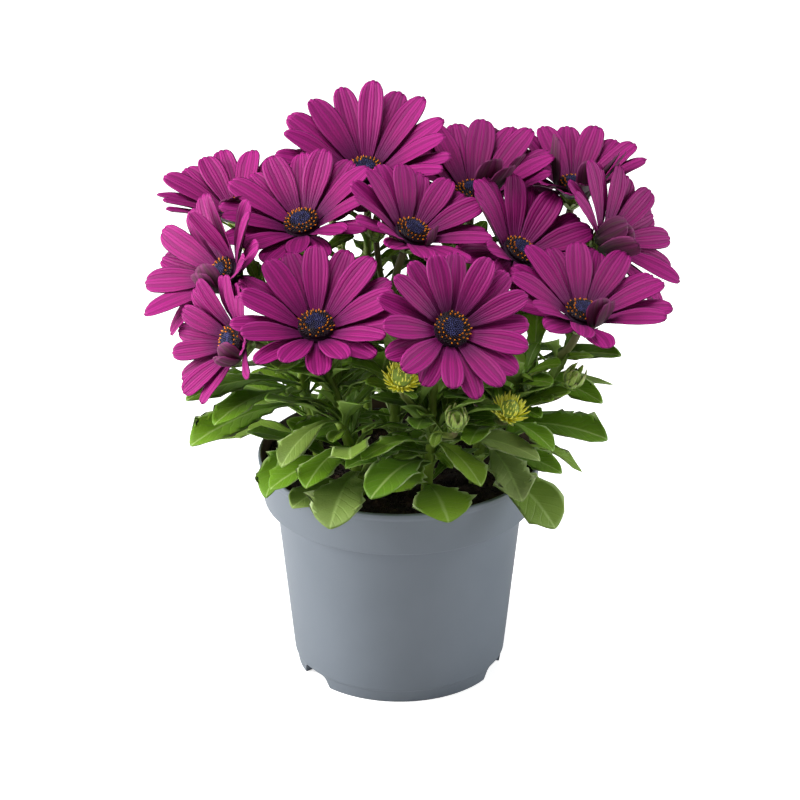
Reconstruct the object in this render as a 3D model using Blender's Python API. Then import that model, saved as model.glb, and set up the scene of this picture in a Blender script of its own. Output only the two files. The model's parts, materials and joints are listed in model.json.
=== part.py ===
"""Flowering osteospermum in its round nursery pot.

Metres, +Z up, pot standing on z = 0 with its axis on the Z axis.  The layout
tables below are in millimetres and degrees.  Azimuths turn anticlockwise from
+X, so a bloom at azimuth -90 looks out over the front of the plant.
"""

import math
import random

import bmesh
import bpy
from mathutils import Matrix, Vector
from mathutils.bvhtree import BVHTree

MM = 0.001
SEED = 41

# Pot
POT_HEIGHT = 97.0
POT_SIDES = 32
RIM_RADIUS = 60.0
BAND_LIP_RADIUS = 57.6
BAND_LIP_HEIGHT = 77.4
WALL_TOP_RADIUS = 52.3
WALL_TOP_HEIGHT = 75.2
FOOT_RADIUS = 43.6
POT_WALL = 1.3
FLOOR_HEIGHT = 5.6
NOTCH_AZIMUTHS = (-145.0, -22.0, 95.0)
NOTCH_WIDTH = 14.0
NOTCH_FLARE = 3.0
NOTCH_HEIGHT = 5.4
DRAIN_RADIUS = 3.2
DRAIN_RING = 19.0
DRAIN_COUNT = 4

# Soil
SOIL_TOP = 91.0
SOIL_BUMP = 1.3
GAP = 0.35
ROOT_DEPTH = 9.0

# Bloom, along its own axis from the underside of the hub
HUB_RADIUS = 8.0
HUB_DEPTH = 2.6
PETAL_COUNT = 18
PETAL_LIFT = 1.9
LAYER_DROP = 1.1
PETAL_LENGTH = 28.5
PETAL_WIDTH = 11.0
PETAL_THICK = 1.2
PETAL_CHANNEL = 0.16
LAYER_PITCH = 6.0
DISC_RADIUS = 7.3
DISC_BASE = 2.95
DISC_TOP = 6.2
DISC_BUMPS = 8
CUP_DEPTH = 7.5
CUP_RADIUS = 5.6
CUP_BRACTS = 4

# Stems and leaves
TRUNK_RADIUS = 2.5
STALK_RADIUS = 1.7
LEAF_THICK = 1.3
LEAF_CHANNEL = 0.20
LEAF_TURN = 137.5

# Rows of a petal: place along it, half width left and right as a share of half its width
PETAL_ROWS = (
    (0.00, 0.34, 0.34),
    (0.50, 1.00, 1.00),
    (0.85, 0.70, 0.70),
    (1.00, 0.00, 0.00),
)

# Rows of a leaf set by rule, with one tooth on each side
SMALL_ROWS = (
    (0.00, 0.22, 0.22),
    (0.34, 0.62, 0.52),
    (0.52, 1.12, 0.84),
    (0.72, 0.78, 1.14),
    (1.00, 0.00, 0.00),
)

# Rows of a leaf laid by hand
LEAF_ROWS = (
    (0.00, 0.20, 0.20),
    (0.32, 0.42, 0.46),
    (0.48, 1.08, 0.76),
    (0.66, 0.92, 1.18),
    (0.86, 0.76, 0.66),
    (1.00, 0.00, 0.00),
)

# Blooms: disc centre, azimuth and elevation it faces, cupping of its petals, spin, size
BLOOMS = (
    ("bloom_01", (21.5, -55.0, 178.5), -72, 44, 22, 4, 0.89),
    ("bloom_02", (75.8, -20.0, 171.0), -48, 73, 29, 9, 1.02),
    ("bloom_03", (-33.7, -45.0, 176.0), -91, 65, 28, 2, 1.01),
    ("bloom_04", (6.0, 0.0, 198.5), -36, 65, 30, 7, 0.92),
    ("bloom_05", (50.8, 12.0, 184.7), -28, 57, 30, 0, 1.02),
    ("bloom_06", (-41.0, 16.0, 196.0), -117, 68, 28, 5, 1.00),
    ("bloom_07", (-69.4, -30.0, 161.0), -147, 18, 32, 3, 0.80),
    ("bloom_08", (-74.0, -7.0, 181.9), -152, 37, 30, 8, 1.04),
    ("bloom_09", (-14.6, 52.0, 205.0), -97, 67, 32, 1, 1.16),
    ("bloom_10", (31.5, 52.0, 195.5), -60, 80, 36, 6, 1.12),
    ("bloom_11", (90.0, 30.0, 182.0), -26, 34, 22, 2, 0.98),
    ("bloom_12", (74.7, 60.0, 195.0), -35, 82, 36, 10, 0.98),
    ("bloom_13", (-69.3, 50.0, 188.5), -150, 80, 34, 4, 1.00),
    ("bloom_14", (34.0, 92.0, 184.0), 68, 46, 22, 3, 0.94),
    ("bloom_15", (-34.0, 92.0, 182.0), 112, 46, 22, 6, 0.94),
)

# Petals that curl away from their layer: bloom, petal, pitch at root and tip, length share
CURLED = (
    ("bloom_02", 8, 62, 122, 0.50),
    ("bloom_02", 9, 60, 118, 0.56),
    ("bloom_04", 9, 62, 128, 0.42),
    ("bloom_07", 10, 62, 142, 0.46),
    ("bloom_07", 11, 64, 146, 0.56),
    ("bloom_07", 12, 62, 138, 0.50),
    ("bloom_08", 10, 60, 116, 0.50),
    ("bloom_08", 11, 64, 124, 0.58),
    ("bloom_08", 12, 58, 112, 0.52),
    ("bloom_11", 3, 60, 118, 0.70),
    ("bloom_11", 4, 64, 128, 0.62),
    ("bloom_12", 7, 66, 112, 0.70),
)

# Buds: centre, azimuth and elevation, radius, length, kind
BUDS = (
    ("bud_1", (0.8, -53.0, 156.5), -85, 55, 7.0, 9.5, "opening"),
    ("bud_2", (45.3, -44.0, 138.0), -70, 60, 6.6, 9.5, "opening"),
    ("bud_3", (23.0, -52.0, 137.5), -85, 75, 3.9, 8.6, "closed"),
    ("bud_4", (72.0, -30.0, 145.5), -40, 60, 3.7, 8.4, "closed"),
    ("bud_5", (-10.2, 18.0, 192.0), -100, 70, 3.8, 8.8, "closed"),
)

# Shoots: root on the soil, fork where its stalks part, what it carries, leaves set on its trunk by rule
SHOOTS = (
    ("shoot_1", (-16.0, -27.0), (-25.0, -31.0, 126.0), ("bloom_03", "bloom_07"), 3),
    ("shoot_2", (11.0, -30.0), (14.0, -35.0, 122.0), ("bloom_01", "bud_1", "bud_3"), 3),
    ("shoot_3", (31.0, -17.0), (39.0, -22.0, 122.0), ("bloom_02", "bud_2", "bud_4"), 2),
    ("shoot_4", (33.0, 12.0), (45.0, 14.0, 128.0), ("bloom_05", "bloom_11"), 3),
    ("shoot_5", (17.0, 30.0), (30.0, 42.0, 128.0), ("bloom_10", "bloom_12", "bloom_14"), 3),
    ("shoot_6", (-14.0, 31.0), (-15.0, 46.0, 128.0), ("bloom_09", "bloom_15"), 3),
    ("shoot_7", (-34.0, 5.0), (-42.0, 8.0, 126.0), ("bloom_06", "bloom_08", "bloom_13"), 3),
    ("shoot_8", (-2.0, 1.0), (-2.0, 2.0, 124.0), ("bloom_04", "bud_5"), 4),
)

# Leaves laid by hand: shoot, place along its trunk, tip, width, arch, roll
LEAVES = (
    ("shoot_1", 0.42, (-28.3, -72.0, 96.5), 21.0, 26, 0),
    ("shoot_2", 0.62, (-7.0, -67.0, 111.0), 22.0, 14, -10),
    ("shoot_2", 0.86, (-15.0, -70.0, 126.5), 12.5, 22, 14),
    ("shoot_2", 0.90, (33.0, -67.0, 113.5), 13.0, 24, -8),
    ("shoot_2", 0.34, (20.0, -69.0, 98.0), 24.0, 20, 0),
    ("shoot_3", 0.70, (50.0, -62.0, 104.0), 15.0, 24, 6),
    ("shoot_3", 0.40, (64.0, -55.0, 88.0), 23.0, 30, 4),
    ("shoot_3", 0.92, (86.0, -35.0, 119.0), 19.0, 18, 12),
    ("shoot_3", 0.56, (67.0, -40.0, 106.0), 14.0, 20, 0),
    ("shoot_3", 0.62, (76.0, -26.0, 96.0), 7.0, 34, 0),
    ("shoot_3", 0.99, (58.0, -52.0, 120.0), 13.0, 28, -16),
    ("shoot_4", 0.99, (92.0, -15.0, 148.0), 14.0, 16, 10),
    ("shoot_4", 0.92, (84.0, -25.0, 131.0), 13.0, 20, 8),
    ("shoot_7", 0.96, (-88.0, -30.0, 134.5), 14.0, 20, -8),
    ("shoot_7", 0.76, (-86.0, -40.0, 118.5), 18.0, 18, -6),
    ("shoot_7", 0.88, (-76.0, -42.0, 129.0), 16.0, 22, 6),
    ("shoot_1", 0.99, (-48.0, -62.0, 119.5), 12.5, 34, 0),
    ("shoot_1", 0.97, (-55.0, -47.0, 143.0), 14.0, 16, 10),
    ("shoot_1", 0.60, (-53.0, -55.0, 106.0), 17.0, 20, 0),
    ("shoot_1", 0.70, (-38.0, -66.0, 112.0), 15.0, 24, 8),
    ("shoot_1", 0.30, (-44.0, -58.0, 99.0), 16.0, 18, -6),
    ("shoot_8", 0.99, (-4.0, -34.0, 150.0), 12.0, 20, 12),
    ("shoot_8", 0.94, (20.0, -30.0, 152.0), 12.0, 18, -8),
    ("shoot_1", 0.90, (-16.0, -58.0, 146.0), 12.0, 22, -10),
    ("shoot_2", 0.97, (34.0, -58.0, 148.0), 12.5, 20, 8),
    ("shoot_3", 0.86, (22.0, -56.0, 128.0), 12.0, 24, 10),
    ("shoot_3", 0.94, (62.0, -40.0, 146.0), 12.0, 18, 0),
    ("shoot_7", 0.99, (-70.0, -22.0, 146.0), 12.0, 20, 12),
    ("shoot_2", 0.74, (-22.0, -60.0, 118.0), 13.0, 20, 6),
    ("shoot_5", 0.36, (30.0, 73.0, 97.0), 18.0, 24, 0),
    ("shoot_5", 0.50, (63.0, 60.0, 105.0), 18.0, 20, 6),
    ("shoot_5", 0.70, (8.0, 78.0, 113.0), 16.0, 22, -6),
    ("shoot_6", 0.36, (-34.0, 72.0, 97.0), 18.0, 24, 0),
    ("shoot_6", 0.54, (-62.0, 58.0, 107.0), 18.0, 20, -8),
    ("shoot_6", 0.74, (-12.0, 86.0, 120.0), 16.0, 20, 8),
    ("shoot_4", 0.36, (79.0, 18.0, 96.0), 18.0, 26, 0),
    ("shoot_4", 0.56, (76.0, 44.0, 109.0), 17.0, 20, -6),
    ("shoot_7", 0.36, (-80.0, 12.0, 97.0), 18.0, 26, 0),
    ("shoot_7", 0.58, (-77.0, 40.0, 110.0), 17.0, 20, 6),
)

# Leaves set by rule on each stalk
STALK_LEAVES = 2

# Offsets tried in turn until a blade is clear: pitch, turn, length share
PETAL_TRIES = tuple(
    (pitch, turn, share)
    for share in (1.0, 0.9, 0.78)
    for pitch in (0, -6, 6, -12, 12, -19, 19, -27, 27, -36, 36, 46, 58)
    for turn in (0, -5, 5)
)
LEAF_TRIES = tuple(
    (pitch, turn, share)
    for share in (1.0, 0.88, 0.74)
    for pitch in (0, 8, -8, 16, -16, 26, -26, 36)
    for turn in (0, -10, 10, -22, 22)
)
STALK_TRIES = tuple(
    (side, rise)
    for rise in (0.0, 6.0, -6.0)
    for side in (0.0, 5.0, -5.0, 10.0, -10.0, 16.0, -16.0, 23.0, -23.0)
)

PALETTE = {
    "pot_plastic": ((0.165, 0.195, 0.235, 1.0), 0.45),
    "potting_soil": ((0.020, 0.011, 0.008, 1.0), 0.95),
    "leaf_green": ((0.060, 0.150, 0.018, 1.0), 0.60),
    "petal_purple": ((0.360, 0.020, 0.210, 1.0), 0.55),
    "disc_navy": ((0.028, 0.035, 0.130, 1.0), 0.60),
    "bud_yellow": ((0.640, 0.600, 0.080, 1.0), 0.60),
    "bud_green": ((0.250, 0.330, 0.070, 1.0), 0.60),
}


def clear_scene():
    for obj in list(bpy.data.objects):
        bpy.data.objects.remove(obj, do_unlink=True)


def material(name):
    made = bpy.data.materials.get(name)
    if made:
        return made
    colour, roughness = PALETTE[name]
    made = bpy.data.materials.new(name)
    made.use_nodes = True
    shader = made.node_tree.nodes["Principled BSDF"]
    shader.inputs["Base Color"].default_value = colour
    shader.inputs["Roughness"].default_value = roughness
    made.diffuse_color = colour
    return made


def direction(azimuth, elevation):
    a = math.radians(azimuth)
    e = math.radians(elevation)
    return Vector((math.cos(e) * math.cos(a), math.cos(e) * math.sin(a), math.sin(e)))


def bezier(points, t):
    """Point and tangent of a Bezier curve of any degree."""
    layer = [Vector(p) for p in points]
    while len(layer) > 2:
        layer = [a.lerp(b, t) for a, b in zip(layer, layer[1:])]
    return layer[0].lerp(layer[1], t), (layer[1] - layer[0]).normalized()


def ring_loft(rings, closed_ends=True):
    """Triangles between rings of equal count; a ring of one point is a pole."""
    verts = []
    starts = []
    for ring in rings:
        starts.append(len(verts))
        verts.extend(ring)
    faces = []
    for k in range(len(rings) - 1):
        low, high = rings[k], rings[k + 1]
        a, b = starts[k], starts[k + 1]
        count = max(len(low), len(high))
        for i in range(count):
            j = (i + 1) % count
            if len(low) == 1:
                faces.append((a, b + j, b + i))
            elif len(high) == 1:
                faces.append((a + i, a + j, b))
            else:
                faces.append((a + i, a + j, b + j))
                faces.append((a + i, b + j, b + i))
    if closed_ends:
        if len(rings[0]) > 1:
            faces.append(tuple(reversed(range(starts[0], starts[0] + len(rings[0])))))
        if len(rings[-1]) > 1:
            faces.append(tuple(range(starts[-1], starts[-1] + len(rings[-1]))))
    return verts, faces


def circle(centre, across, along, radii, turn=0.0):
    """Points around a centre; radii holds one radius for each point."""
    points = []
    for i, radius in enumerate(radii):
        angle = turn + 2.0 * math.pi * i / len(radii)
        points.append(centre + (across * math.cos(angle) + along * math.sin(angle)) * radius)
    return points


def frame_about(axis):
    """Uphill and sideways directions square to an axis."""
    uphill = Vector((0.0, 0.0, 1.0)) - axis * axis.z
    if uphill.length < 1e-4:
        uphill = Vector((1.0, 0.0, 0.0))
    uphill.normalize()
    return uphill, axis.cross(uphill)


def tube(points, radius_start, radius_end, sides, rows):
    """Tapering stem along a Bezier curve, its rings carried along without twist."""
    rings = []
    across = None
    for k in range(rows + 1):
        t = k / rows
        centre, tangent = bezier(points, t)
        if across is None:
            across, _ = frame_about(tangent)
        across = (across - tangent * across.dot(tangent)).normalized()
        along = tangent.cross(across)
        radius = radius_start + (radius_end - radius_start) * t
        rings.append(circle(centre, across, along, [radius] * sides))
    return ring_loft(rings)


def blade_spine(start, heading, up, length, pitch0, pitch1, s):
    """Point, forward and normal directions at share s of a steadily bending midrib."""
    a = math.radians(pitch0)
    k = math.radians(pitch1 - pitch0)
    if abs(k) < 1e-4:
        k = 1e-4
    angle = a + k * s
    ahead = (math.sin(angle) - math.sin(a)) / k
    above = (math.cos(a) - math.cos(angle)) / k
    point = start + (heading * ahead + up * above) * length
    forward = heading * math.cos(angle) + up * math.sin(angle)
    normal = up * math.cos(angle) - heading * math.sin(angle)
    return point, forward, normal


def blade(spec, rows, thick, channel, grow=0.0):
    """Closed petal or leaf: edge, ridge, edge and keel in each row, ending in a tip."""
    start, heading, up, length, width, pitch0, pitch1, roll = spec
    verts = []
    faces = []
    for s, left_share, right_share in rows:
        point, forward, normal = blade_spine(start, heading, up, length, pitch0, pitch1, s)
        if left_share == 0.0:
            verts.append(point + forward * grow)
            continue
        turn = Matrix.Rotation(math.radians(roll) * s, 3, forward)
        normal = turn @ normal
        side = forward.cross(normal)
        left = 0.5 * width * left_share + grow
        right = 0.5 * width * right_share + grow
        half = 0.5 * thick * (1.0 - 0.25 * s) + grow
        verts.append(point - side * left + normal * channel * left)
        verts.append(point + normal * half)
        verts.append(point + side * right + normal * channel * right)
        verts.append(point - normal * half)
    faces.append((0, 3, 1))
    faces.append((1, 3, 2))
    for k in range(len(rows) - 2):
        a = 4 * k
        b = a + 4
        for i in range(4):
            j = (i + 1) % 4
            faces.append((a + i, a + j, b + j))
            faces.append((a + i, b + j, b + i))
    a = 4 * (len(rows) - 2)
    for i in range(4):
        faces.append((a + i, a + (i + 1) % 4, a + 4))
    return verts, faces


def bent(spec, offset):
    """The same blade with a pitch, turn and length offset applied."""
    start, heading, up, length, width, pitch0, pitch1, roll = spec
    pitch, turn, share = offset
    turned = Matrix.Rotation(math.radians(turn), 3, up) @ heading
    return start, turned, up, length * share, width, pitch0 + 0.5 * pitch, pitch1 + pitch, roll


class Room:
    """Everything placed so far, kept for clearance tests between nodes."""

    def __init__(self):
        self.items = []

    def add(self, node, shape):
        verts, faces = shape
        low = [min(v[i] for v in verts) for i in range(3)]
        high = [max(v[i] for v in verts) for i in range(3)]
        self.items.append((node, low, high, BVHTree.FromPolygons(verts, faces)))

    def clear(self, node, shape, own=False):
        verts, faces = shape
        low = [min(v[i] for v in verts) for i in range(3)]
        high = [max(v[i] for v in verts) for i in range(3)]
        tree = None
        for other, other_low, other_high, other_tree in self.items:
            if other == node and not own:
                continue
            if any(low[i] > other_high[i] or other_low[i] > high[i] for i in range(3)):
                continue
            if tree is None:
                tree = BVHTree.FromPolygons(verts, faces)
            if tree.overlap(other_tree):
                return False
        return True


def place_blade(room, node, spec, tries, rows, thick, channel, apart=False):
    """First offset at which the blade clears every other node, or None.

    With apart set, its outer part also clears the rest of its own node.
    """
    for offset in tries:
        moved = bent(spec, offset)
        if not room.clear(node, blade(moved, rows, thick, channel, GAP)):
            continue
        if apart and not room.clear(node, blade(moved, rows[1:], thick, channel, GAP), True):
            continue
        shape = blade(moved, rows, thick, channel)
        room.add(node, shape)
        return shape
    return None


def bloom_axes(bloom):
    _, centre, azimuth, elevation, _, _, _ = bloom
    axis = direction(azimuth, elevation)
    uphill, sideways = frame_about(axis)
    base = Vector(centre) - axis * 4.0
    return base, axis, uphill, sideways


def hub_points(bloom):
    """Centres below and above, and for each petal a top, a bottom and a shared edge point."""
    base, axis, uphill, sideways = bloom_axes(bloom)
    spin = bloom[5]
    step = 2.0 * math.pi / PETAL_COUNT
    start = math.radians(spin)
    tops = circle(base + axis * HUB_DEPTH, uphill, sideways, [HUB_RADIUS] * PETAL_COUNT, start)
    bottoms = circle(base, uphill, sideways, [HUB_RADIUS] * PETAL_COUNT, start)
    edges = circle(base + axis * HUB_DEPTH * 0.5, uphill, sideways, [HUB_RADIUS] * PETAL_COUNT, start - step * 0.5)
    return base, base + axis * HUB_DEPTH, tops, bottoms, edges


def hub_shape(bloom):
    """Hub without petals, for clearance tests."""
    low, high, tops, bottoms, edges = hub_points(bloom)
    ring = []
    for i in range(PETAL_COUNT):
        ring.extend((edges[i], tops[i]))
    under = []
    for i in range(PETAL_COUNT):
        under.extend((edges[i] - (high - low) * 0.3, bottoms[i]))
    return ring_loft([under, ring])


def rays_shape(bloom, petals):
    """Hub and petals as one skin: neighbouring petals share an edge point on the hub."""
    low, high, tops, bottoms, edges = hub_points(bloom)
    verts = [low, high] + edges + tops + bottoms
    faces = []
    for i in range(PETAL_COUNT):
        left = 2 + (i + 1) % PETAL_COUNT
        right = 2 + i
        top = 2 + PETAL_COUNT + i
        bottom = 2 + 2 * PETAL_COUNT + i
        faces.extend(((1, top, left), (1, right, top), (0, left, bottom), (0, bottom, right)))
        root = [left, top, right, bottom]
        if petals[i] is None:
            faces.extend(((top, bottom, left), (top, right, bottom)))
            continue
        petal_verts, petal_faces = petals[i]
        offset = len(verts) - 4
        verts.extend(petal_verts[4:])
        for face in petal_faces[2:]:
            faces.append(tuple(root[v] if v < 4 else v + offset for v in face))
    return verts, faces


def disc_shape(bloom):
    """Domed cushion of disc florets with a ring of anther bumps."""
    base, axis, uphill, sideways = bloom_axes(bloom)
    half = DISC_BUMPS // 2
    rings = []
    rings.append(circle(base + axis * DISC_BASE, uphill, sideways, [DISC_RADIUS - 0.5] * DISC_BUMPS))
    rings.append(circle(base + axis * (DISC_BASE + 1.0), uphill, sideways, [DISC_RADIUS, DISC_RADIUS - 0.9] * half))
    crown = circle(base, uphill, sideways, [4.7, 5.6] * half, math.pi / DISC_BUMPS)
    for i in range(DISC_BUMPS):
        crown[i] = crown[i] + axis * (DISC_TOP - (1.5 if i % 2 else 0.5))
    rings.append(crown)
    inner = circle(base, uphill, sideways, [2.9, 2.4] * half)
    for i in range(DISC_BUMPS):
        inner[i] = inner[i] + axis * (DISC_TOP - (0.1 if i % 2 else 0.6))
    rings.append(inner)
    rings.append([base + axis * DISC_TOP])
    return ring_loft(rings)


def petal_specs(bloom):
    """Petals in two layers; the seeded draws give each its own set."""
    name, _, _, _, cup, spin, size = bloom
    base, axis, uphill, sideways = bloom_axes(bloom)
    rng = random.Random(SEED * 100 + int(name[-2:]))
    curls = {petal: (low, high, share) for flower, petal, low, high, share in CURLED if flower == name}
    specs = []
    for i in range(PETAL_COUNT):
        wander = rng.uniform(-3.0, 3.0)
        lean = rng.uniform(-4.0, 4.0)
        stretch = rng.uniform(0.93, 1.05)
        breadth = rng.uniform(0.92, 1.08)
        roll = rng.uniform(-14.0, 14.0)
        angle = math.radians(360.0 / PETAL_COUNT * i + spin + wander)
        heading = uphill * math.cos(angle) + sideways * math.sin(angle)
        layer = -LAYER_PITCH if i % 2 else 0.0
        pitch0 = cup + 7.0 + layer + lean
        pitch1 = cup - 7.0 + layer + lean
        length = PETAL_LENGTH * size * stretch
        if i in curls:
            pitch0, pitch1, share = curls[i]
            length *= share
            roll = 0.0
        lift = PETAL_LIFT - (LAYER_DROP if i % 2 else 0.0)
        start = base + axis * lift + heading * HUB_RADIUS
        specs.append((start, heading, axis, length, PETAL_WIDTH * breadth * min(size, 1.04), pitch0, pitch1, roll))
    return specs


def cup_shape(base, axis, reach, depth):
    """Involucre: a short cup closing the stalk, its rim cut into pointed bracts."""
    uphill, sideways = frame_about(axis)
    sides = CUP_BRACTS * 2
    foot = circle(base - axis * (depth + GAP), uphill, sideways, [STALK_RADIUS * 1.1] * sides)
    rim = circle(base - axis * GAP, uphill, sideways, [reach, reach * 0.8] * CUP_BRACTS)
    return ring_loft([foot, rim])


def bud_shape(bud):
    """Opening buds are blunt tufts of folded petals, closed ones are pointed ovoids."""
    _, centre, azimuth, elevation, radius, length, kind = bud
    axis = direction(azimuth, elevation)
    uphill, sideways = frame_about(axis)
    base = Vector(centre) - axis * length * 0.5
    sides = 14 if kind == "opening" else 10
    half = sides // 2
    if kind == "opening":
        profile = ((0.0, 0.62, 0.58), (0.35, 1.0, 0.84), (0.78, 1.04, 0.80), (1.0, 0.74, 0.50), (0.86, 0.34, 0.28))
        top = 0.80
    else:
        profile = ((0.0, 0.60, 0.56), (0.30, 1.0, 0.90), (0.62, 0.88, 0.76), (0.90, 0.42, 0.36))
        top = 1.05
    rings = []
    for along, outer, inner in profile:
        rings.append(circle(base + axis * length * along, uphill, sideways, [radius * outer, radius * inner] * half))
    rings.append([base + axis * length * top])
    return ring_loft(rings)


def shoot_trunk(shoot):
    _, root, fork, _, _ = shoot
    foot = Vector((root[0], root[1], SOIL_TOP - ROOT_DEPTH + 1.0))
    fork = Vector(fork)
    middle = Vector((root[0], root[1], 0.5 * (foot.z + fork.z)))
    return [foot, middle, fork]


def stalk_curve(shoot, end, axis, offset):
    """Flower stalk from the fork, leaving upward and arriving along the bloom's axis."""
    side, rise = offset
    fork = Vector(shoot[2])
    start, _ = bezier(shoot_trunk(shoot), 0.90)
    reach = (end - fork).length
    across = Vector((0.0, 0.0, 1.0)).cross(end - fork)
    if across.length < 1e-3:
        across = Vector((1.0, 0.0, 0.0))
    across.normalize()
    rise_point = start + Vector((0.0, 0.0, 0.42 * reach + rise)) + across * side
    arrive = end - axis * 0.42 * reach + across * side * 0.4
    return [start, rise_point, arrive, end]


def leaf_spec(start, tip, width, arch, roll):
    """Leaf whose arched midrib joins two points."""
    chord = tip - start
    heading = chord.normalized()
    up = Vector((0.0, 0.0, 1.0)) - heading * heading.z
    up.normalize()
    bend = math.radians(arch)
    length = chord.length * bend / math.sin(bend)
    return start, heading, up, length, width, float(arch), float(-arch), float(roll)


def rule_leaves(shoot, curves):
    """Leaves spiralling up the trunk and the lower part of each stalk."""
    name = shoot[0]
    rng = random.Random(SEED * 1000 + int(name[-1]))
    specs = []
    turn = rng.uniform(0.0, 360.0)
    for which, curve in enumerate(curves):
        count = shoot[4] if which == 0 else STALK_LEAVES
        for k in range(count):
            turn += LEAF_TURN
            if which == 0:
                t = 0.28 + 0.70 * (k + 0.5) / count
                length = rng.uniform(44.0, 60.0)
                lift = rng.uniform(2.0, 26.0)
            else:
                t = 0.14 + 0.52 * (k + 0.5) / count
                length = rng.uniform(30.0, 42.0)
                lift = rng.uniform(10.0, 46.0)
            width = length * rng.uniform(0.25, 0.33)
            arch = rng.uniform(14.0, 28.0)
            roll = rng.uniform(-22.0, 22.0)
            start, _ = bezier(curve, t)
            heading = direction(turn + rng.uniform(-14.0, 14.0), lift)
            specs.append(leaf_spec(start, start + heading * length, width, arch, roll))
    return specs


def mesh_object(name, shape, colour):
    verts, faces = shape
    data = bpy.data.meshes.new(name)
    data.from_pydata([Vector(v) * MM for v in verts], [], faces)
    box = bmesh.new()
    box.from_mesh(data)
    bmesh.ops.recalc_face_normals(box, faces=box.faces)
    box.to_mesh(data)
    box.free()
    data.materials.append(material(colour))
    obj = bpy.data.objects.new(name, data)
    bpy.context.scene.collection.objects.link(obj)
    return obj


def joined(name, shapes, colour, solver="EXACT"):
    """One solid from overlapping shapes: a union of the first with all the others."""
    base = mesh_object(name, shapes[0], colour)
    if len(shapes) == 1:
        return base
    group = bpy.data.collections.new(name + "_parts")
    bpy.context.scene.collection.children.link(group)
    for k, shape in enumerate(shapes[1:]):
        piece = mesh_object(f"{name}_piece_{k}", shape, colour)
        bpy.context.scene.collection.objects.unlink(piece)
        group.objects.link(piece)
    union = base.modifiers.new("union", "BOOLEAN")
    union.operation = "UNION"
    union.operand_type = "COLLECTION"
    union.collection = group
    union.solver = solver
    bpy.context.view_layer.update()
    settle(base)
    for piece in list(group.objects):
        bpy.data.objects.remove(piece, do_unlink=True)
    bpy.data.collections.remove(group)
    return base


def settle(obj):
    """Apply the object's modifiers and tidy the seams they leave."""
    graph = bpy.context.evaluated_depsgraph_get()
    data = bpy.data.meshes.new_from_object(obj.evaluated_get(graph))
    obj.modifiers.clear()
    obj.data = data
    box = bmesh.new()
    box.from_mesh(data)
    bmesh.ops.remove_doubles(box, verts=box.verts, dist=0.000001)
    bmesh.ops.triangulate(box, faces=box.faces)
    box.to_mesh(data)
    box.free()


def cut(obj, shapes):
    """Subtract shapes from an object."""
    group = bpy.data.collections.new(obj.name + "_cutters")
    bpy.context.scene.collection.children.link(group)
    for k, shape in enumerate(shapes):
        piece = mesh_object(f"{obj.name}_cutter_{k}", shape, "pot_plastic")
        bpy.context.scene.collection.objects.unlink(piece)
        group.objects.link(piece)
    tool = obj.modifiers.new("cut", "BOOLEAN")
    tool.operation = "DIFFERENCE"
    tool.operand_type = "COLLECTION"
    tool.collection = group
    tool.solver = "EXACT"
    bpy.context.view_layer.update()
    settle(obj)
    for piece in list(group.objects):
        bpy.data.objects.remove(piece, do_unlink=True)
    bpy.data.collections.remove(group)


def turned(profile, sides):
    """Solid of revolution; profile runs from the axis round to the axis again."""
    rings = []
    for radius, height in profile:
        centre = Vector((0.0, 0.0, height))
        if radius == 0.0:
            rings.append([centre])
        else:
            rings.append(circle(centre, Vector((1, 0, 0)), Vector((0, 1, 0)), [radius] * sides))
    return ring_loft(rings)


def rod(x, y, low, high, radius, sides):
    rings = []
    for height in (low, high):
        rings.append(circle(Vector((x, y, height)), Vector((1, 0, 0)), Vector((0, 1, 0)), [radius] * sides))
    return ring_loft(rings)


def block(azimuth, inner, outer, low, high):
    """Radial block, wider at its foot, used to cut a notch through the foot ring."""
    away = direction(azimuth, 0.0)
    along = Vector((-away.y, away.x, 0.0))
    rings = []
    for height, width in ((low, NOTCH_WIDTH + 2.0 * NOTCH_FLARE), (high, NOTCH_WIDTH)):
        lift = Vector((0.0, 0.0, height))
        rings.append([
            away * inner - along * width * 0.5 + lift,
            away * outer - along * width * 0.5 + lift,
            away * outer + along * width * 0.5 + lift,
            away * inner + along * width * 0.5 + lift,
        ])
    return ring_loft(rings)


def inner_profile(gap):
    """Inside of the pot from the rim down to the floor, moved in by a gap."""
    return [
        (RIM_RADIUS - 1.4 - gap, POT_HEIGHT),
        (BAND_LIP_RADIUS - POT_WALL - gap, BAND_LIP_HEIGHT + 0.9 + 0.7 * gap),
        (WALL_TOP_RADIUS - POT_WALL - gap, WALL_TOP_HEIGHT + 0.9 + 0.7 * gap),
        (FOOT_RADIUS + 0.6 - gap, FLOOR_HEIGHT + 5.0),
        (FOOT_RADIUS - 2.0 - gap, FLOOR_HEIGHT + 1.6 + gap),
    ]


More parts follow.
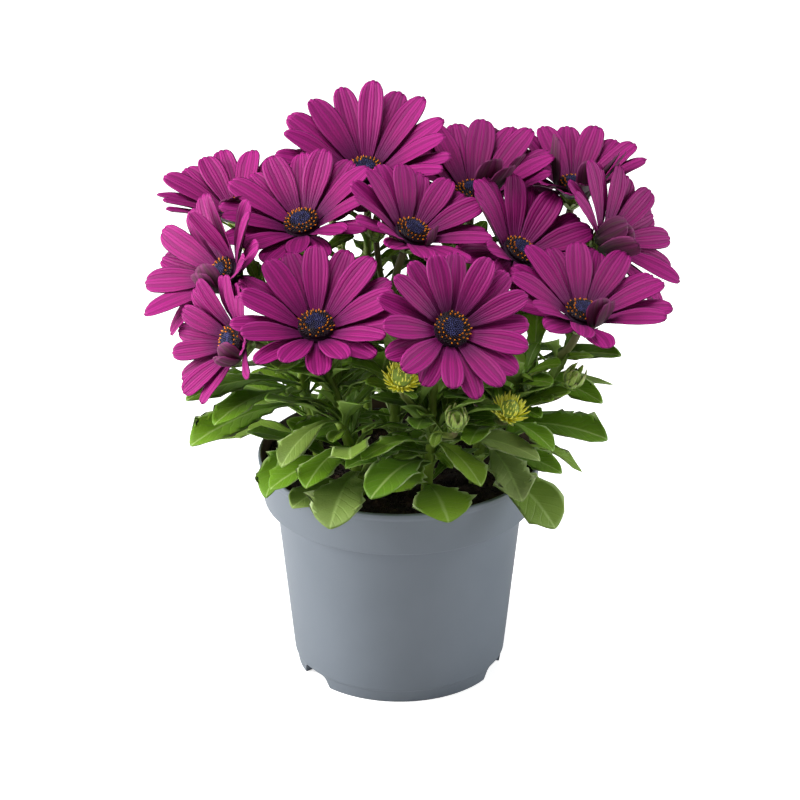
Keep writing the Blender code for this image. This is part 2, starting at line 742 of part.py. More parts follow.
def make_pot():
    outside = [
        (0.0, 0.0),
        (7.0, 0.0),
        (8.0, FLOOR_HEIGHT),
        (31.0, FLOOR_HEIGHT),
        (32.5, 0.0),
        (FOOT_RADIUS, 0.0),
        (FOOT_RADIUS + 1.4, 6.0),
        (WALL_TOP_RADIUS, WALL_TOP_HEIGHT),
        (BAND_LIP_RADIUS, BAND_LIP_HEIGHT),
        (RIM_RADIUS - 0.6, POT_HEIGHT - 3.4),
        (RIM_RADIUS, POT_HEIGHT - 2.2),
        (RIM_RADIUS - 0.6, POT_HEIGHT),
    ]
    profile = outside + inner_profile(0.0) + [(0.0, FLOOR_HEIGHT + 1.6)]
    pot = mesh_object("pot", turned(profile, POT_SIDES), "pot_plastic")
    cutters = [block(a, 34.6, 50.0, -2.0, NOTCH_HEIGHT) for a in NOTCH_AZIMUTHS]
    for k in range(DRAIN_COUNT):
        spot = direction(30.0 + 360.0 / DRAIN_COUNT * k, 0.0) * DRAIN_RING
        cutters.append(rod(spot.x, spot.y, -1.0, FLOOR_HEIGHT + 5.0, DRAIN_RADIUS, 10))
    cut(pot, cutters)
    return turned(profile, POT_SIDES)


def make_soil():
    rng = random.Random(SEED)
    walls = inner_profile(GAP)
    top_radius = walls[1][0] + (walls[0][0] - walls[1][0]) * (SOIL_TOP - walls[1][1]) / (walls[0][1] - walls[1][1])
    up = Vector((0.0, 0.0, 1.0))
    across = Vector((1, 0, 0))
    along = Vector((0, 1, 0))
    rings = [[up * walls[4][1]]]
    for radius, height in reversed(walls[1:]):
        rings.append(circle(up * height, across, along, [radius] * POT_SIDES))
    for share in (1.0, 0.64):
        ring = circle(up * SOIL_TOP, across, along, [top_radius * share] * POT_SIDES)
        if share < 1.0:
            ring = [p + up * rng.uniform(-SOIL_BUMP, SOIL_BUMP) for p in ring]
        rings.append(ring)
    rings.append([up * SOIL_TOP])
    shape = ring_loft(rings)
    soil = mesh_object("soil", shape, "potting_soil")
    holes = []
    for _, root, _, _, _ in SHOOTS:
        holes.append(rod(root[0], root[1], SOIL_TOP - ROOT_DEPTH, SOIL_TOP + 5.0, TRUNK_RADIUS + 1.1, 8))
    cut(soil, holes)
    return shape


def build():
    clear_scene()
    room = Room()
    room.add("pot", make_pot())
    room.add("soil", make_soil())
    carried = {}
    for bloom in BLOOMS:
        name = bloom[0]
        room.add(name + "_rays", hub_shape(bloom))
        disc = disc_shape(bloom)
        room.add(name + "_disc", disc)
        mesh_object(name + "_disc", disc, "disc_navy")
        base, axis, _, _ = bloom_axes(bloom)
        carried[name] = (base, axis, CUP_RADIUS, CUP_DEPTH)
    for bud in BUDS:
        name, centre, azimuth, elevation, radius, length, kind = bud
        shape = bud_shape(bud)
        room.add(name, shape)
        mesh_object(name, shape, "bud_yellow" if kind == "opening" else "bud_green")
        axis = direction(azimuth, elevation)
        carried[name] = (Vector(centre) - axis * length * 0.5, axis, radius * 0.62, 3.4)
    shoots = {}
    curves = {}
    for shoot in SHOOTS:
        name = shoot[0]
        trunk = shoot_trunk(shoot)
        shape = tube(trunk, TRUNK_RADIUS, TRUNK_RADIUS * 0.86, 6, 3)
        shoots[name] = [shape]
        curves[name] = [trunk]
        if not room.clear(name, tube(trunk[1:], 2.0, 2.0, 5, 3)):
            print("trunk touches", name)
    for shoot in SHOOTS:
        room.add(shoot[0], tube([shoot_trunk(shoot)[0] + Vector((0, 0, 12.0))] + shoot_trunk(shoot)[1:], 2.6, 2.2, 7, 4))
    for shoot in SHOOTS:
        name = shoot[0]
        for load in shoot[3]:
            base, axis, reach, depth = carried[load]
            end = base - axis * (depth - 0.8)
            cup = cup_shape(base, axis, reach, depth)
            radius = STALK_RADIUS if load.startswith("bloom") else STALK_RADIUS * 0.8
            for offset in STALK_TRIES:
                curve = stalk_curve(shoot, end, axis, offset)
                if room.clear(name, tube(curve, radius + GAP, radius + GAP, 5, 6)):
                    break
            else:
                print("stalk not clear", name, load)
            shape = tube(curve, radius * 1.1, radius * 0.95, 5, 4)
            shoots[name].extend((shape, cup))
            room.add(name, shape)
            room.add(name, cup)
            curves[name].append(curve)
    dropped = []
    for bloom in BLOOMS:
        node = bloom[0] + "_rays"
        petals = []
        for i, spec in enumerate(petal_specs(bloom)):
            shape = place_blade(room, node, spec, PETAL_TRIES, PETAL_ROWS, PETAL_THICK, PETAL_CHANNEL, True)
            petals.append(shape)
            if shape is None:
                dropped.append((node, i))
        mesh_object(node, rays_shape(bloom, petals), "petal_purple")
    missing = []
    for name, t, tip, width, arch, roll in LEAVES:
        start, _ = bezier(curves[name][0], t)
        spec = leaf_spec(start, Vector(tip), width, arch, roll)
        shape = place_blade(room, name, spec, LEAF_TRIES, LEAF_ROWS, LEAF_THICK, LEAF_CHANNEL, True)
        if shape:
            shoots[name].append(shape)
        else:
            missing.append((name, tip))
    kept = 0
    asked = 0
    for shoot in SHOOTS:
        name = shoot[0]
        for spec in rule_leaves(shoot, curves[name]):
            asked += 1
            shape = place_blade(room, name, spec, LEAF_TRIES, SMALL_ROWS, LEAF_THICK, LEAF_CHANNEL, True)
            if shape:
                kept += 1
                shoots[name].append(shape)
    print("petals dropped", dropped)
    print("leaves missing", missing)
    print("rule leaves", kept, "of", asked)
    for shoot in SHOOTS:
        joined(shoot[0], shoots[shoot[0]], "leaf_green")


build()
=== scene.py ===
import json
import math
import random
from functools import partialmethod
from itertools import product

import bpy
from mathutils import Matrix, Vector, noise
from mathutils.bvhtree import BVHTree
from mathutils.kdtree import KDTree

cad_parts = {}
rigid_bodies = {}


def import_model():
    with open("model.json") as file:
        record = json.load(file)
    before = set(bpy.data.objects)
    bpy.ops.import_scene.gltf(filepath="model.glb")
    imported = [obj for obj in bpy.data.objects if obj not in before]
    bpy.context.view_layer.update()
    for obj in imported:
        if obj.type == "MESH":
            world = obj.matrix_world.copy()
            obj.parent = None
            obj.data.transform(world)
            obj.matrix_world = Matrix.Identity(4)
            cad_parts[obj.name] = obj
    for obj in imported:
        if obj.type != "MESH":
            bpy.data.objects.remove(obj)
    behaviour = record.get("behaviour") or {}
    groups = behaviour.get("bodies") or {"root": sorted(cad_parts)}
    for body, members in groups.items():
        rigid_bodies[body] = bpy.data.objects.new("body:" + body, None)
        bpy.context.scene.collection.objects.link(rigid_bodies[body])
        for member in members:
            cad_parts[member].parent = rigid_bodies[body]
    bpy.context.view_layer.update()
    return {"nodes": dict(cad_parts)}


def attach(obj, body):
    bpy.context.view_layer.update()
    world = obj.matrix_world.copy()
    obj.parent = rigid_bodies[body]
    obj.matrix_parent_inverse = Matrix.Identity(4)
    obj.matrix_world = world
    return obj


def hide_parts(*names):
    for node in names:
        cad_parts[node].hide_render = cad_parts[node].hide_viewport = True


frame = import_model()

# The studio: a seamless pale floor before a white backdrop, broad soft lights on the
# left, on the right and above, and a camera that looks down on the plant at 25
# degrees from 1.6 m away.

MM = 0.001
CAMERA_TILT = 25.0
CAMERA_DISTANCE = 1.6
CAMERA_TARGET = Vector((0.0002, 0.0, 0.121))
SENSOR_WIDTH = 36.0
FRAME_PIXELS = 800.0
PIXELS_PER_METRE = 2375.0
AMBIENT = 0.17
FLOOR_GLOW = 0.75

# Lights: name, place, height it aims at, width, watts, tint
LIGHTS = (
    ("left_light", (-1.30, -0.10, 0.55), 0.12, 0.9, 27.0, (1.0, 0.99, 0.97)),
    ("right_light", (1.30, 0.05, 0.50), 0.12, 0.9, 12.0, (0.97, 0.99, 1.0)),
    ("top_light", (-0.35, -0.15, 1.40), 0.18, 0.8, 15.0, (1.0, 1.0, 1.0)),
)

scene = bpy.context.scene
scene.view_settings.view_transform = "Standard"


def place_object(name, data):
    made = bpy.data.objects.new(name, data)
    scene.collection.objects.link(made)
    return made


def aimed(name, data, place, target):
    """A camera or light at a place, turned to its target."""
    made = place_object(name, data)
    made.location = place
    made.rotation_euler = (Vector(target) - Vector(place)).to_track_quat("-Z", "Y").to_euler()
    return made


tilt = math.radians(CAMERA_TILT)
lens = bpy.data.cameras.new("photo_camera")
lens.sensor_width = SENSOR_WIDTH
lens.lens = SENSOR_WIDTH * PIXELS_PER_METRE * CAMERA_DISTANCE / FRAME_PIXELS
eye = CAMERA_TARGET + Vector((0.0, -math.cos(tilt), math.sin(tilt))) * CAMERA_DISTANCE
scene.camera = aimed("photo_camera", lens, eye, CAMERA_TARGET)
for name, place, height, size, watts, tint in LIGHTS:
    lamp = bpy.data.lights.new(name, "AREA")
    lamp.shape = "DISK"
    lamp.size = size
    lamp.energy = watts
    lamp.color = tint
    aimed(name, lamp, place, (0.0, 0.0, height))


class Value:
    """A number that varies over a piece: a node's output that can be reckoned with."""

    def __init__(self, nodes, socket):
        self.nodes = nodes
        self.socket = socket

    def math(self, operation, *others):
        inputs = dict(enumerate((self, *others)))
        return self.nodes.put("ShaderNodeMath", inputs, operation=operation)[0]

    __add__ = partialmethod(math, "ADD")
    __sub__ = partialmethod(math, "SUBTRACT")
    __mul__ = partialmethod(math, "MULTIPLY")
    __pow__ = partialmethod(math, "POWER")


class Nodes:
    """A node tree that ends in one node, with short ways to add to it."""

    def __init__(self, tree, end):
        self.tree = tree
        self.end = end

    def feed(self, socket, value):
        """Fills a socket from another node, or with a plain value or colour."""
        if isinstance(value, Value):
            self.tree.links.new(value.socket, socket)
        elif socket.type == "RGBA":
            socket.default_value = (*value, 1.0)
        else:
            socket.default_value = value

    def put(self, kind, inputs=None, **settings):
        """Adds a node, fills its inputs by name or place, and gives its outputs the same way."""
        made = self.tree.nodes.new(kind)
        for key, value in settings.items():
            setattr(made, key, value)
        for key, value in (inputs or {}).items():
            self.feed(made.inputs[key], value)
        return {key: Value(self, out) for k, out in enumerate(made.outputs) for key in (k, out.name)}

    def give(self, values):
        """Fills the inputs of the node that the tree ends in."""
        for label, value in values.items():
            self.feed(self.end.inputs[label], value)


class Finish(Nodes):
    """A material, whose nodes end in its Principled BSDF."""

    def __init__(self, name, roughness, specular, more=None):
        self.material = bpy.data.materials.new(name)
        self.material.use_nodes = True
        tree = self.material.node_tree
        super().__init__(tree, tree.nodes["Principled BSDF"])
        self.give({"Roughness": roughness, "Specular IOR Level": specular, **(more or {})})


def new_mesh(name, verts, faces):
    made = bpy.data.meshes.new(name)
    made.from_pydata(verts, [], faces)
    return made


# White backdrop, which lights the plant more weakly than it looks.
sky = bpy.data.worlds.new("studio_sky")
scene.world = sky
sky.use_nodes = True
backdrop = Nodes(sky.node_tree, sky.node_tree.nodes["Background"])
seen = backdrop.put("ShaderNodeLightPath")["Is Camera Ray"]
glow = backdrop.put("ShaderNodeMapRange", {"Value": seen, "To Min": AMBIENT, "To Max": 1.0})[0]
backdrop.give({"Color": (1.0, 1.0, 1.0), "Strength": glow})

white = {"Base Color": (0.80, 0.80, 0.80), "Emission Color": (1.0, 1.0, 1.0)}
floor_paint = Finish("floor_paint", 0.7, 0.2, white)
seen = floor_paint.put("ShaderNodeLightPath")["Is Camera Ray"]
floor_paint.give({"Emission Strength": seen * FLOOR_GLOW})
floor_mesh = new_mesh("floor", [(-6, -4, 0), (6, -4, 0), (6, 14, 0), (-6, 14, 0)], [(0, 1, 2, 3)])
floor_mesh.materials.append(floor_paint.material)
floor = place_object("floor", floor_mesh)

# The pot: one thin-walled injection-moulded polypropylene pot in matt blue-grey,
# with a deep rim band, a stepped-in tapering wall, and a foot ring broken by
# three drainage notches.  Its skin is turned from one profile.

POT_HEIGHT = 97.0
RIM_RADIUS = 60.0
BAND_LIP_RADIUS = 57.6
BAND_LIP_HEIGHT = 77.4
WALL_TOP_RADIUS = 52.3
WALL_TOP_HEIGHT = 75.2
FOOT_RADIUS = 43.6
POT_WALL = 1.3
FLOOR_HEIGHT = 5.6
CORNER_ROUND = 0.35
NOTCH_AZIMUTHS = (-145.0, -22.0, 95.0)
NOTCH_WIDTH = 14.0
NOTCH_FLARE = 3.0
NOTCH_HEIGHT = 5.4
NOTCH_ROUND = 2.4
NOTCH_REACH = (34.6, 50.0)
CUT_BELOW = -2.0
DRAIN_RADIUS = 3.2
DRAIN_RING = 19.0
DRAIN_COUNT = 4
DRAIN_TURN = 30.0
DRAIN_TOP = 12.0
POT_SIDES = 144
SHARP_ANGLE = 32.0
DUST_DEPTH = 6.5

pot_profile = [
    (0.0, 0.0),
    (7.0, 0.0),
    (8.0, FLOOR_HEIGHT),
    (31.0, FLOOR_HEIGHT),
    (32.5, 0.0),
    (FOOT_RADIUS, 0.0),
    (FOOT_RADIUS + 0.9, 5.4),
    (FOOT_RADIUS + 1.5, 6.0),
    (WALL_TOP_RADIUS - 0.1, WALL_TOP_HEIGHT - 0.6),
    (WALL_TOP_RADIUS + 0.3, WALL_TOP_HEIGHT),
    (BAND_LIP_RADIUS - 0.5, BAND_LIP_HEIGHT - 0.3),
    (BAND_LIP_RADIUS - 0.05, BAND_LIP_HEIGHT),
    (BAND_LIP_RADIUS + 0.05, BAND_LIP_HEIGHT + 0.5),
    (RIM_RADIUS - 0.6, POT_HEIGHT - 3.4),
    (RIM_RADIUS - 0.1, POT_HEIGHT - 2.2),
    (RIM_RADIUS, POT_HEIGHT - 0.5),
    (RIM_RADIUS - 0.7, POT_HEIGHT),
    (RIM_RADIUS - 1.4, POT_HEIGHT - 0.1),
    (BAND_LIP_RADIUS - POT_WALL, BAND_LIP_HEIGHT + 0.9),
    (WALL_TOP_RADIUS - POT_WALL, WALL_TOP_HEIGHT + 0.9),
    (FOOT_RADIUS + 0.6, FLOOR_HEIGHT + 5.0),
    (FOOT_RADIUS - 2.0, FLOOR_HEIGHT + 1.6),
    (0.0, FLOOR_HEIGHT + 1.6),
]


def direction(azimuth, elevation):
    a = math.radians(azimuth)
    e = math.radians(elevation)
    return Vector((math.cos(e) * math.cos(a), math.cos(e) * math.sin(a), math.sin(e)))


def rounded(profile, radius, steps=4):
    """The same profile with each corner eased by an arc that starts a radius away."""
    points = [profile[0]]
    for corners in zip(profile, profile[1:], profile[2:]):
        before, corner, after = map(Vector, corners)
        arms = (before - corner, after - corner)
        first, last = (corner + arm.normalized() * min(radius, 0.45 * arm.length) for arm in arms)
        for k in range(steps + 1):
            t = k / steps
            points.append(tuple(first.lerp(corner, t).lerp(corner.lerp(last, t), t)))
    points.append(profile[-1])
    return points


def around(sides):
    """Cosine and sine of each step round a circle."""
    angles = [2.0 * math.pi * i / sides for i in range(sides)]
    return [(math.cos(angle), math.sin(angle)) for angle in angles]


def turned_mesh(name, profile, sides):
    """Closed solid of revolution about Z; the profile starts and ends on the axis."""
    verts = []
    rings = []
    for radius, height in profile:
        circle = around(sides) if radius else [(0.0, 0.0)]
        rings.append([len(verts) + k % len(circle) for k in range(sides)])
        verts.extend(Vector((radius * c, radius * s, height)) * MM for c, s in circle)
    faces = []
    for low, high in zip(rings, rings[1:]):
        for i in range(sides):
            j = (i + 1) % sides
            faces.append(list(dict.fromkeys((low[i], low[j], high[j], high[i]))))
    return new_mesh(name, verts, faces)


def as_plain_mesh(piece):
    """Keeps the evaluated object as its own plain mesh, with the modifiers taken off."""
    graph = bpy.context.evaluated_depsgraph_get()
    mesh = bpy.data.meshes.new_from_object(piece.evaluated_get(graph))
    piece.modifiers.clear()
    piece.data = mesh
    mesh.name = piece.name


pot = place_object("pot_shell", turned_mesh("pot_shell", rounded(pot_profile, CORNER_ROUND), POT_SIDES))
cutters = bpy.data.collections.new("pot_cutters")
scene.collection.children.link(cutters)
half = 0.5 * NOTCH_WIDTH
wide = half + NOTCH_FLARE
arch = [(-wide, CUT_BELOW), (-half, NOTCH_HEIGHT), (half, NOTCH_HEIGHT), (wide, CUT_BELOW)]
arch = rounded(arch, NOTCH_ROUND)
count = len(arch)
walls = [(k + count, (k + 1) % count + count, (k + 1) % count, k) for k in range(count)]
ends = [tuple(range(count)), tuple(reversed(range(count, 2 * count)))]
for azimuth in NOTCH_AZIMUTHS:
    away = direction(azimuth, 0.0)
    along = Vector((-away.y, away.x, 0.0))
    corners = []
    for reach in NOTCH_REACH:
        for side, height in arch:
            corners.append((away * reach + along * side + Vector((0.0, 0.0, height))) * MM)
    cutters.objects.link(bpy.data.objects.new("notch", new_mesh("notch", corners, walls + ends)))
drain_profile = [(0.0, -1.0), (DRAIN_RADIUS, -1.0), (DRAIN_RADIUS, DRAIN_TOP), (0.0, DRAIN_TOP)]
for k in range(DRAIN_COUNT):
    spot = direction(DRAIN_TURN + 360.0 / DRAIN_COUNT * k, 0.0) * DRAIN_RING
    hole = turned_mesh("drain", drain_profile, 24)
    hole.transform(Matrix.Translation(spot * MM))
    cutters.objects.link(bpy.data.objects.new("drain", hole))
opening = pot.modifiers.new("openings", "BOOLEAN")
opening.operation = "DIFFERENCE"
opening.operand_type = "COLLECTION"
opening.collection = cutters
opening.solver = "EXACT"
bpy.context.view_layer.update()
as_plain_mesh(pot)
for cutter in list(cutters.objects):
    bpy.data.objects.remove(cutter, do_unlink=True)
bpy.data.collections.remove(cutters)
pot.data.shade_smooth()
pot.data.set_sharp_from_angle(angle=math.radians(SHARP_ANGLE))


def new_group(name, kind, inputs, outputs):
    """Node group with these labelled sockets: its nodes, and the values it is given."""
    tree = bpy.data.node_groups.new(name, kind + "NodeTree")
    for way, sockets in (("INPUT", inputs), ("OUTPUT", outputs)):
        for label, sort in sockets.items():
            tree.interface.new_socket(label, in_out=way, socket_type="NodeSocket" + sort)
    group = Nodes(tree, tree.nodes.new("NodeGroupOutput"))
    return group, group.put("NodeGroupInput")


def floats(*labels):
    return dict.fromkeys(labels, "Float")


# Fine speckle shared by the moulded and the living surfaces: a cloudy mask and a
# close grain, both on object coordinates.
speckle, given = new_group(
    "mottle", "Shader", floats("Cloud Scale", "Grain Scale"), floats("Cloud", "Grain")
)
spot = speckle.put("ShaderNodeTexCoord")["Object"]
for label, detail in (("Cloud", 3.0), ("Grain", 2.0)):
    look = {"Vector": spot, "Scale": given[label + " Scale"], "Detail": detail, "Roughness": 0.55}
    speckle.give({label: speckle.put("ShaderNodeTexNoise", look)["Fac"]})


def mottle(paint, cloud, grain):
    """The two speckle masks at these scales."""
    scales = {"Cloud Scale": cloud, "Grain Scale": grain}
    made = paint.put("ShaderNodeGroup", scales, node_tree=speckle.tree)
    return made["Cloud"], made["Grain"]


def ramp(paint, source, stops):
    """Colour that changes over a value through (place, colour) stops."""
    made = paint.put("ShaderNodeValToRGB", {"Fac": source})["Color"]
    bar = made.socket.node.color_ramp.elements
    while len(bar) < len(stops):
        bar.new(0.5)
    for element, (place, colour) in zip(bar, stops):
        element.position = place
        element.color = (*colour, 1.0)
    return made


def veiled(paint, colour, *veils):
    """Lays tints over a colour in turn, each where its mask shows and by its share."""
    for mask, share, tint in veils:
        inputs = {0: mask * share, 6: colour, 7: tint}
        colour = paint.put("ShaderNodeMix", inputs, data_type="RGBA")[2]
    return colour


def coat(paint, colour, height=None, strength=0.0, distance=0.0):
    """Gives a material its colour and, where it has one, its fine relief."""
    paint.give({"Base Color": colour})
    if height:
        relief = {"Height": height, "Strength": strength, "Distance": distance}
        paint.give({"Normal": paint.put("ShaderNodeBump", relief)[0]})


# Matt plastic, with brown dust where the soil has touched the inside of the rim.
plastic = Finish("pot_plastic", 0.5, 0.4)
cloud, grain = mottle(plastic, 22.0, 900.0)
at = plastic.put("ShaderNodeSeparateXYZ", {0: plastic.put("ShaderNodeTexCoord")["Object"]})
outward = (at["X"] ** 2.0 + at["Y"] * at["Y"]).math("SQRT") + grain * 0.0006
inside = outward.math("LESS_THAN", (RIM_RADIUS - 0.75) * MM)
high = at["Z"].math("GREATER_THAN", (POT_HEIGHT - DUST_DEPTH) * MM)
colour = ramp(plastic, cloud, ((0.3, (0.150, 0.176, 0.210)), (0.7, (0.168, 0.194, 0.230))))
coat(plastic, veiled(plastic, colour, (inside, high, (0.085, 0.050, 0.034))), grain, 0.12, 0.0002)
plastic.give({"Roughness": cloud * 0.16 + 0.38})
pot.data.materials.append(plastic.material)
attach(pot, "root")
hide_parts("pot")

# The potting soil: dark peat and bark filling the pot almost to its rim.  A fine
# uneven surface carries loose crumbs scattered over it.

SOIL_TOP = 91.0
SOIL_RADIUS = 57.55
SOIL_RINGS = 46
SOIL_SIDES = 150
CRUMBS_PER_SQUARE_METRE = 260000.0
CRUMB_SIZES = (0.25, 0.95)
FULL_TURN = 6.28

soil_profile = [
    (0.0, FLOOR_HEIGHT + 2.0),
    (FOOT_RADIUS - 2.6, FLOOR_HEIGHT + 2.0),
    (FOOT_RADIUS + 0.1, FLOOR_HEIGHT + 5.2),
    (WALL_TOP_RADIUS - POT_WALL - 0.5, WALL_TOP_HEIGHT + 1.3),
    (BAND_LIP_RADIUS - POT_WALL - 0.4, BAND_LIP_HEIGHT + 1.3),
    (SOIL_RADIUS, SOIL_TOP - 0.6),
]
for k in range(SOIL_RINGS):
    soil_profile.append((SOIL_RADIUS * (1.0 - (k + 0.5) / SOIL_RINGS), SOIL_TOP))
soil_profile.append((0.0, SOIL_TOP))
soil = place_object("potting_soil", turned_mesh("potting_soil", soil_profile, SOIL_SIDES))
for vertex in soil.data.vertices:
    if vertex.co.z > (SOIL_TOP - 1.0) * MM:
        spot = Vector((vertex.co.x, vertex.co.y, 0.0))
        rise = noise.fractal(spot * 90.0, 1.0, 2.0, 5)
        clod = noise.fractal(spot * 420.0, 1.0, 2.0, 3)
        vertex.co.z += (1.3 * rise + 0.55 * clod) * MM


def speckled(name, roughness, specular, scales, stops, *relief):
    """Material mottled between a few colours, with its grain as relief."""
    made = Finish(name, roughness, specular)
    cloud, grain = mottle(made, *scales)
    coat(made, ramp(made, cloud, stops), grain if relief else None, *relief)
    return made


peat_stops = ((0.30, (0.006, 0.004, 0.003)), (0.52, (0.020, 0.011, 0.008)), (0.74, (0.050, 0.026, 0.016)))
peat = speckled("peat_soil", 0.92, 0.25, (160.0, 1500.0), peat_stops, 0.6, 0.0006)
soil.data.materials.append(peat.material)


def new_tree(name, inputs):
    """Geometry Nodes tree that takes and gives geometry, with these inputs besides."""
    shape = {"Geometry": "Geometry"}
    return new_group(name, "Geometry", {**shape, **inputs}, shape)


def joined(tree, *parts):
    made = tree.put("GeometryNodeJoinGeometry")[0]
    for part in parts:
        tree.feed(made.socket.node.inputs[0], part)
    return made


def grow(piece, tree, values):
    """Runs a Geometry Nodes tree on a piece with these inputs and keeps the plain mesh."""
    modifier = piece.modifiers.new(tree.name, "NODES")
    modifier.node_group = tree
    for item in tree.interface.items_tree:
        if item.in_out == "INPUT" and item.name in values:
            modifier[item.identifier] = values[item.name]
    bpy.context.view_layer.update()
    as_plain_mesh(piece)


crumbs, given = new_tree(
    "soil_crumbs", {"Density": "Float", "Smallest": "Float", "Largest": "Float", "Seed": "Int"}
)
up = crumbs.put("ShaderNodeSeparateXYZ", {0: crumbs.put("GeometryNodeInputNormal")[0]})["Z"]
level = crumbs.put("FunctionNodeCompare", {0: up, 1: 0.4}, operation="GREATER_THAN")[0]
spread = {"Mesh": given["Geometry"], "Selection": level, "Density": given["Density"], "Seed": given["Seed"]}
least = crumbs.put("ShaderNodeCombineXYZ", dict.fromkeys("XYZ", given["Smallest"]))[0]
most = crumbs.put("ShaderNodeCombineXYZ", dict.fromkeys("XYZ", given["Largest"]))[0]
sizes = {0: least, 1: most, "Seed": given["Seed"]}
turns = {1: (FULL_TURN, FULL_TURN, FULL_TURN), "Seed": 5}
stamp = {
    "Points": crumbs.put("GeometryNodeDistributePointsOnFaces", spread)["Points"],
    "Instance": crumbs.put("GeometryNodeMeshIcoSphere", {"Radius": 1.0, "Subdivisions": 1})["Mesh"],
    "Scale": crumbs.put("FunctionNodeRandomValue", sizes, data_type="FLOAT_VECTOR")[0],
    "Rotation": crumbs.put("FunctionNodeRandomValue", turns, data_type="FLOAT_VECTOR")[0],
}
strewn = joined(crumbs, crumbs.put("GeometryNodeInstanceOnPoints", stamp)[0], given["Geometry"])
real = crumbs.put("GeometryNodeRealizeInstances", {0: strewn})[0]
crumbs.give({0: crumbs.put("GeometryNodeSetMaterial", {0: real, "Material": peat.material})[0]})
smallest, largest = CRUMB_SIZES
grow(
    soil,
    crumbs.tree,
    {"Density": CRUMBS_PER_SQUARE_METRE, "Smallest": smallest * MM, "Largest": largest * MM, "Seed": 3},
)
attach(soil, "root")
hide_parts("soil")

# The rays: eighteen strap-shaped petals round each bloom, in two overlapping
# layers on a short hub.  Each petal is thin, blunt and faintly ribbed lengthwise,
# and is bent clear of the neighbouring blooms as the solid under it is.

SEED = 41
HUB_RADIUS = 8.0
HUB_DEPTH = 2.6
HUB_SIDES = 32
HUB_RINGS = ((7.0, 0.1), (HUB_RADIUS - 0.4, 0.9), (HUB_RADIUS - 0.5, 2.1), (6.8, HUB_DEPTH))
BASE_DEPTH = 4.0
PETAL_COUNT = 18
PETAL_LIFT = 1.9
LAYER_DROP = 1.1
LAYER_PITCH = 6.0
PETAL_BEND = 7.0
PETAL_LENGTH = 28.5
PETAL_WIDTH = 11.0
PETAL_CHANNEL = 0.16
PETAL_GRID = (20, 12, 0.55)  # rows, columns, thickness; so for the other blades
FURROW_PLACE = 0.38
FURROW_WIDTH = 0.13
FURROW_DEPTH = 0.42
MATCH = 0.03

# Blooms: disc centre, azimuth and elevation it faces, cupping of its petals, spin, size
BLOOMS = (
    ("bloom_01", (21.5, -55.0, 178.5), -72, 44, 22, 4, 0.89),
    ("bloom_02", (75.8, -20.0, 171.0), -48, 73, 29, 9, 1.02),
    ("bloom_03", (-33.7, -45.0, 176.0), -91, 65, 28, 2, 1.01),
    ("bloom_04", (6.0, 0.0, 198.5), -36, 65, 30, 7, 0.92),
    ("bloom_05", (50.8, 12.0, 184.7), -28, 57, 30, 0, 1.02),
    ("bloom_06", (-41.0, 16.0, 196.0), -117, 68, 28, 5, 1.00),
    ("bloom_07", (-69.4, -30.0, 161.0), -147, 18, 32, 3, 0.80),
    ("bloom_08", (-74.0, -7.0, 181.9), -152, 37, 30, 8, 1.04),
    ("bloom_09", (-14.6, 52.0, 205.0), -97, 67, 32, 1, 1.16),
    ("bloom_10", (31.5, 52.0, 195.5), -60, 80, 36, 6, 1.12),
    ("bloom_11", (90.0, 30.0, 182.0), -26, 34, 22, 2, 0.98),
    ("bloom_12", (74.7, 60.0, 195.0), -35, 82, 36, 10, 0.98),
    ("bloom_13", (-69.3, 50.0, 188.5), -150, 80, 34, 4, 1.00),
    ("bloom_14", (34.0, 92.0, 184.0), 68, 46, 22, 3, 0.94),
    ("bloom_15", (-34.0, 92.0, 182.0), 112, 46, 22, 6, 0.94),
)

# Petals that curl away from their layer: pitch at root and tip, length share
CURLED = {
    "bloom_02": {8: (62, 122, 0.50), 9: (60, 118, 0.56)},
    "bloom_04": {9: (62, 128, 0.42)},
    "bloom_07": {10: (62, 142, 0.46), 11: (64, 146, 0.56), 12: (62, 138, 0.50)},
    "bloom_08": {10: (60, 116, 0.50), 11: (64, 124, 0.58), 12: (58, 112, 0.52)},
    "bloom_11": {3: (60, 118, 0.70), 4: (64, 128, 0.62)},
    "bloom_12": {7: (66, 112, 0.70)},
}

# Offsets that a petal may have been bent by to clear its neighbours: length share, pitch, turn
PETAL_PITCHES = (0, -6, 6, -12, 12, -19, 19, -27, 27, -36, 36, 46, 58)
PETAL_BENDS = tuple(product((1.0, 0.9, 0.78), PETAL_PITCHES, (0, -5, 5)))

# What each petal draws: turn, pitch, length share, width share, roll
PETAL_DRAWS = ((-3.0, 3.0), (-4.0, 4.0), (0.93, 1.05), (0.92, 1.08), (-14.0, 14.0))

# Half width of a petal along its length, as a share of half its full width
PETAL_OUTLINE = (
    (-0.10, 0.30), (0.0, 0.42), (0.15, 0.64), (0.32, 0.86), (0.50, 1.02),
    (0.66, 1.05), (0.80, 0.97), (0.90, 0.82), (1.0, 0.62),
)


def frame_about(axis):
    """Uphill and sideways directions square to an axis."""
    uphill = Vector((0.0, 0.0, 1.0)) - axis * axis.z
    if uphill.length < 1e-4:
        uphill = Vector((1.0, 0.0, 0.0))
    uphill.normalize()
    return uphill, axis.cross(uphill)


def ring_at(centre, across, along, radius, sides):
    return [centre + (across * c + along * s) * radius for c, s in around(sides)]


def along_table(table, s):
    """Smoothed value of a (place, value) table at s."""
    if s <= table[0][0]:
        return table[0][1]
    for (low, first), (high, second) in zip(table, table[1:]):
        if s <= high:
            t = (s - low) / (high - low)
            t = t * t * (3.0 - 2.0 * t) * 0.5 + t * 0.5
            return first + (second - first) * t
    return table[-1][1]


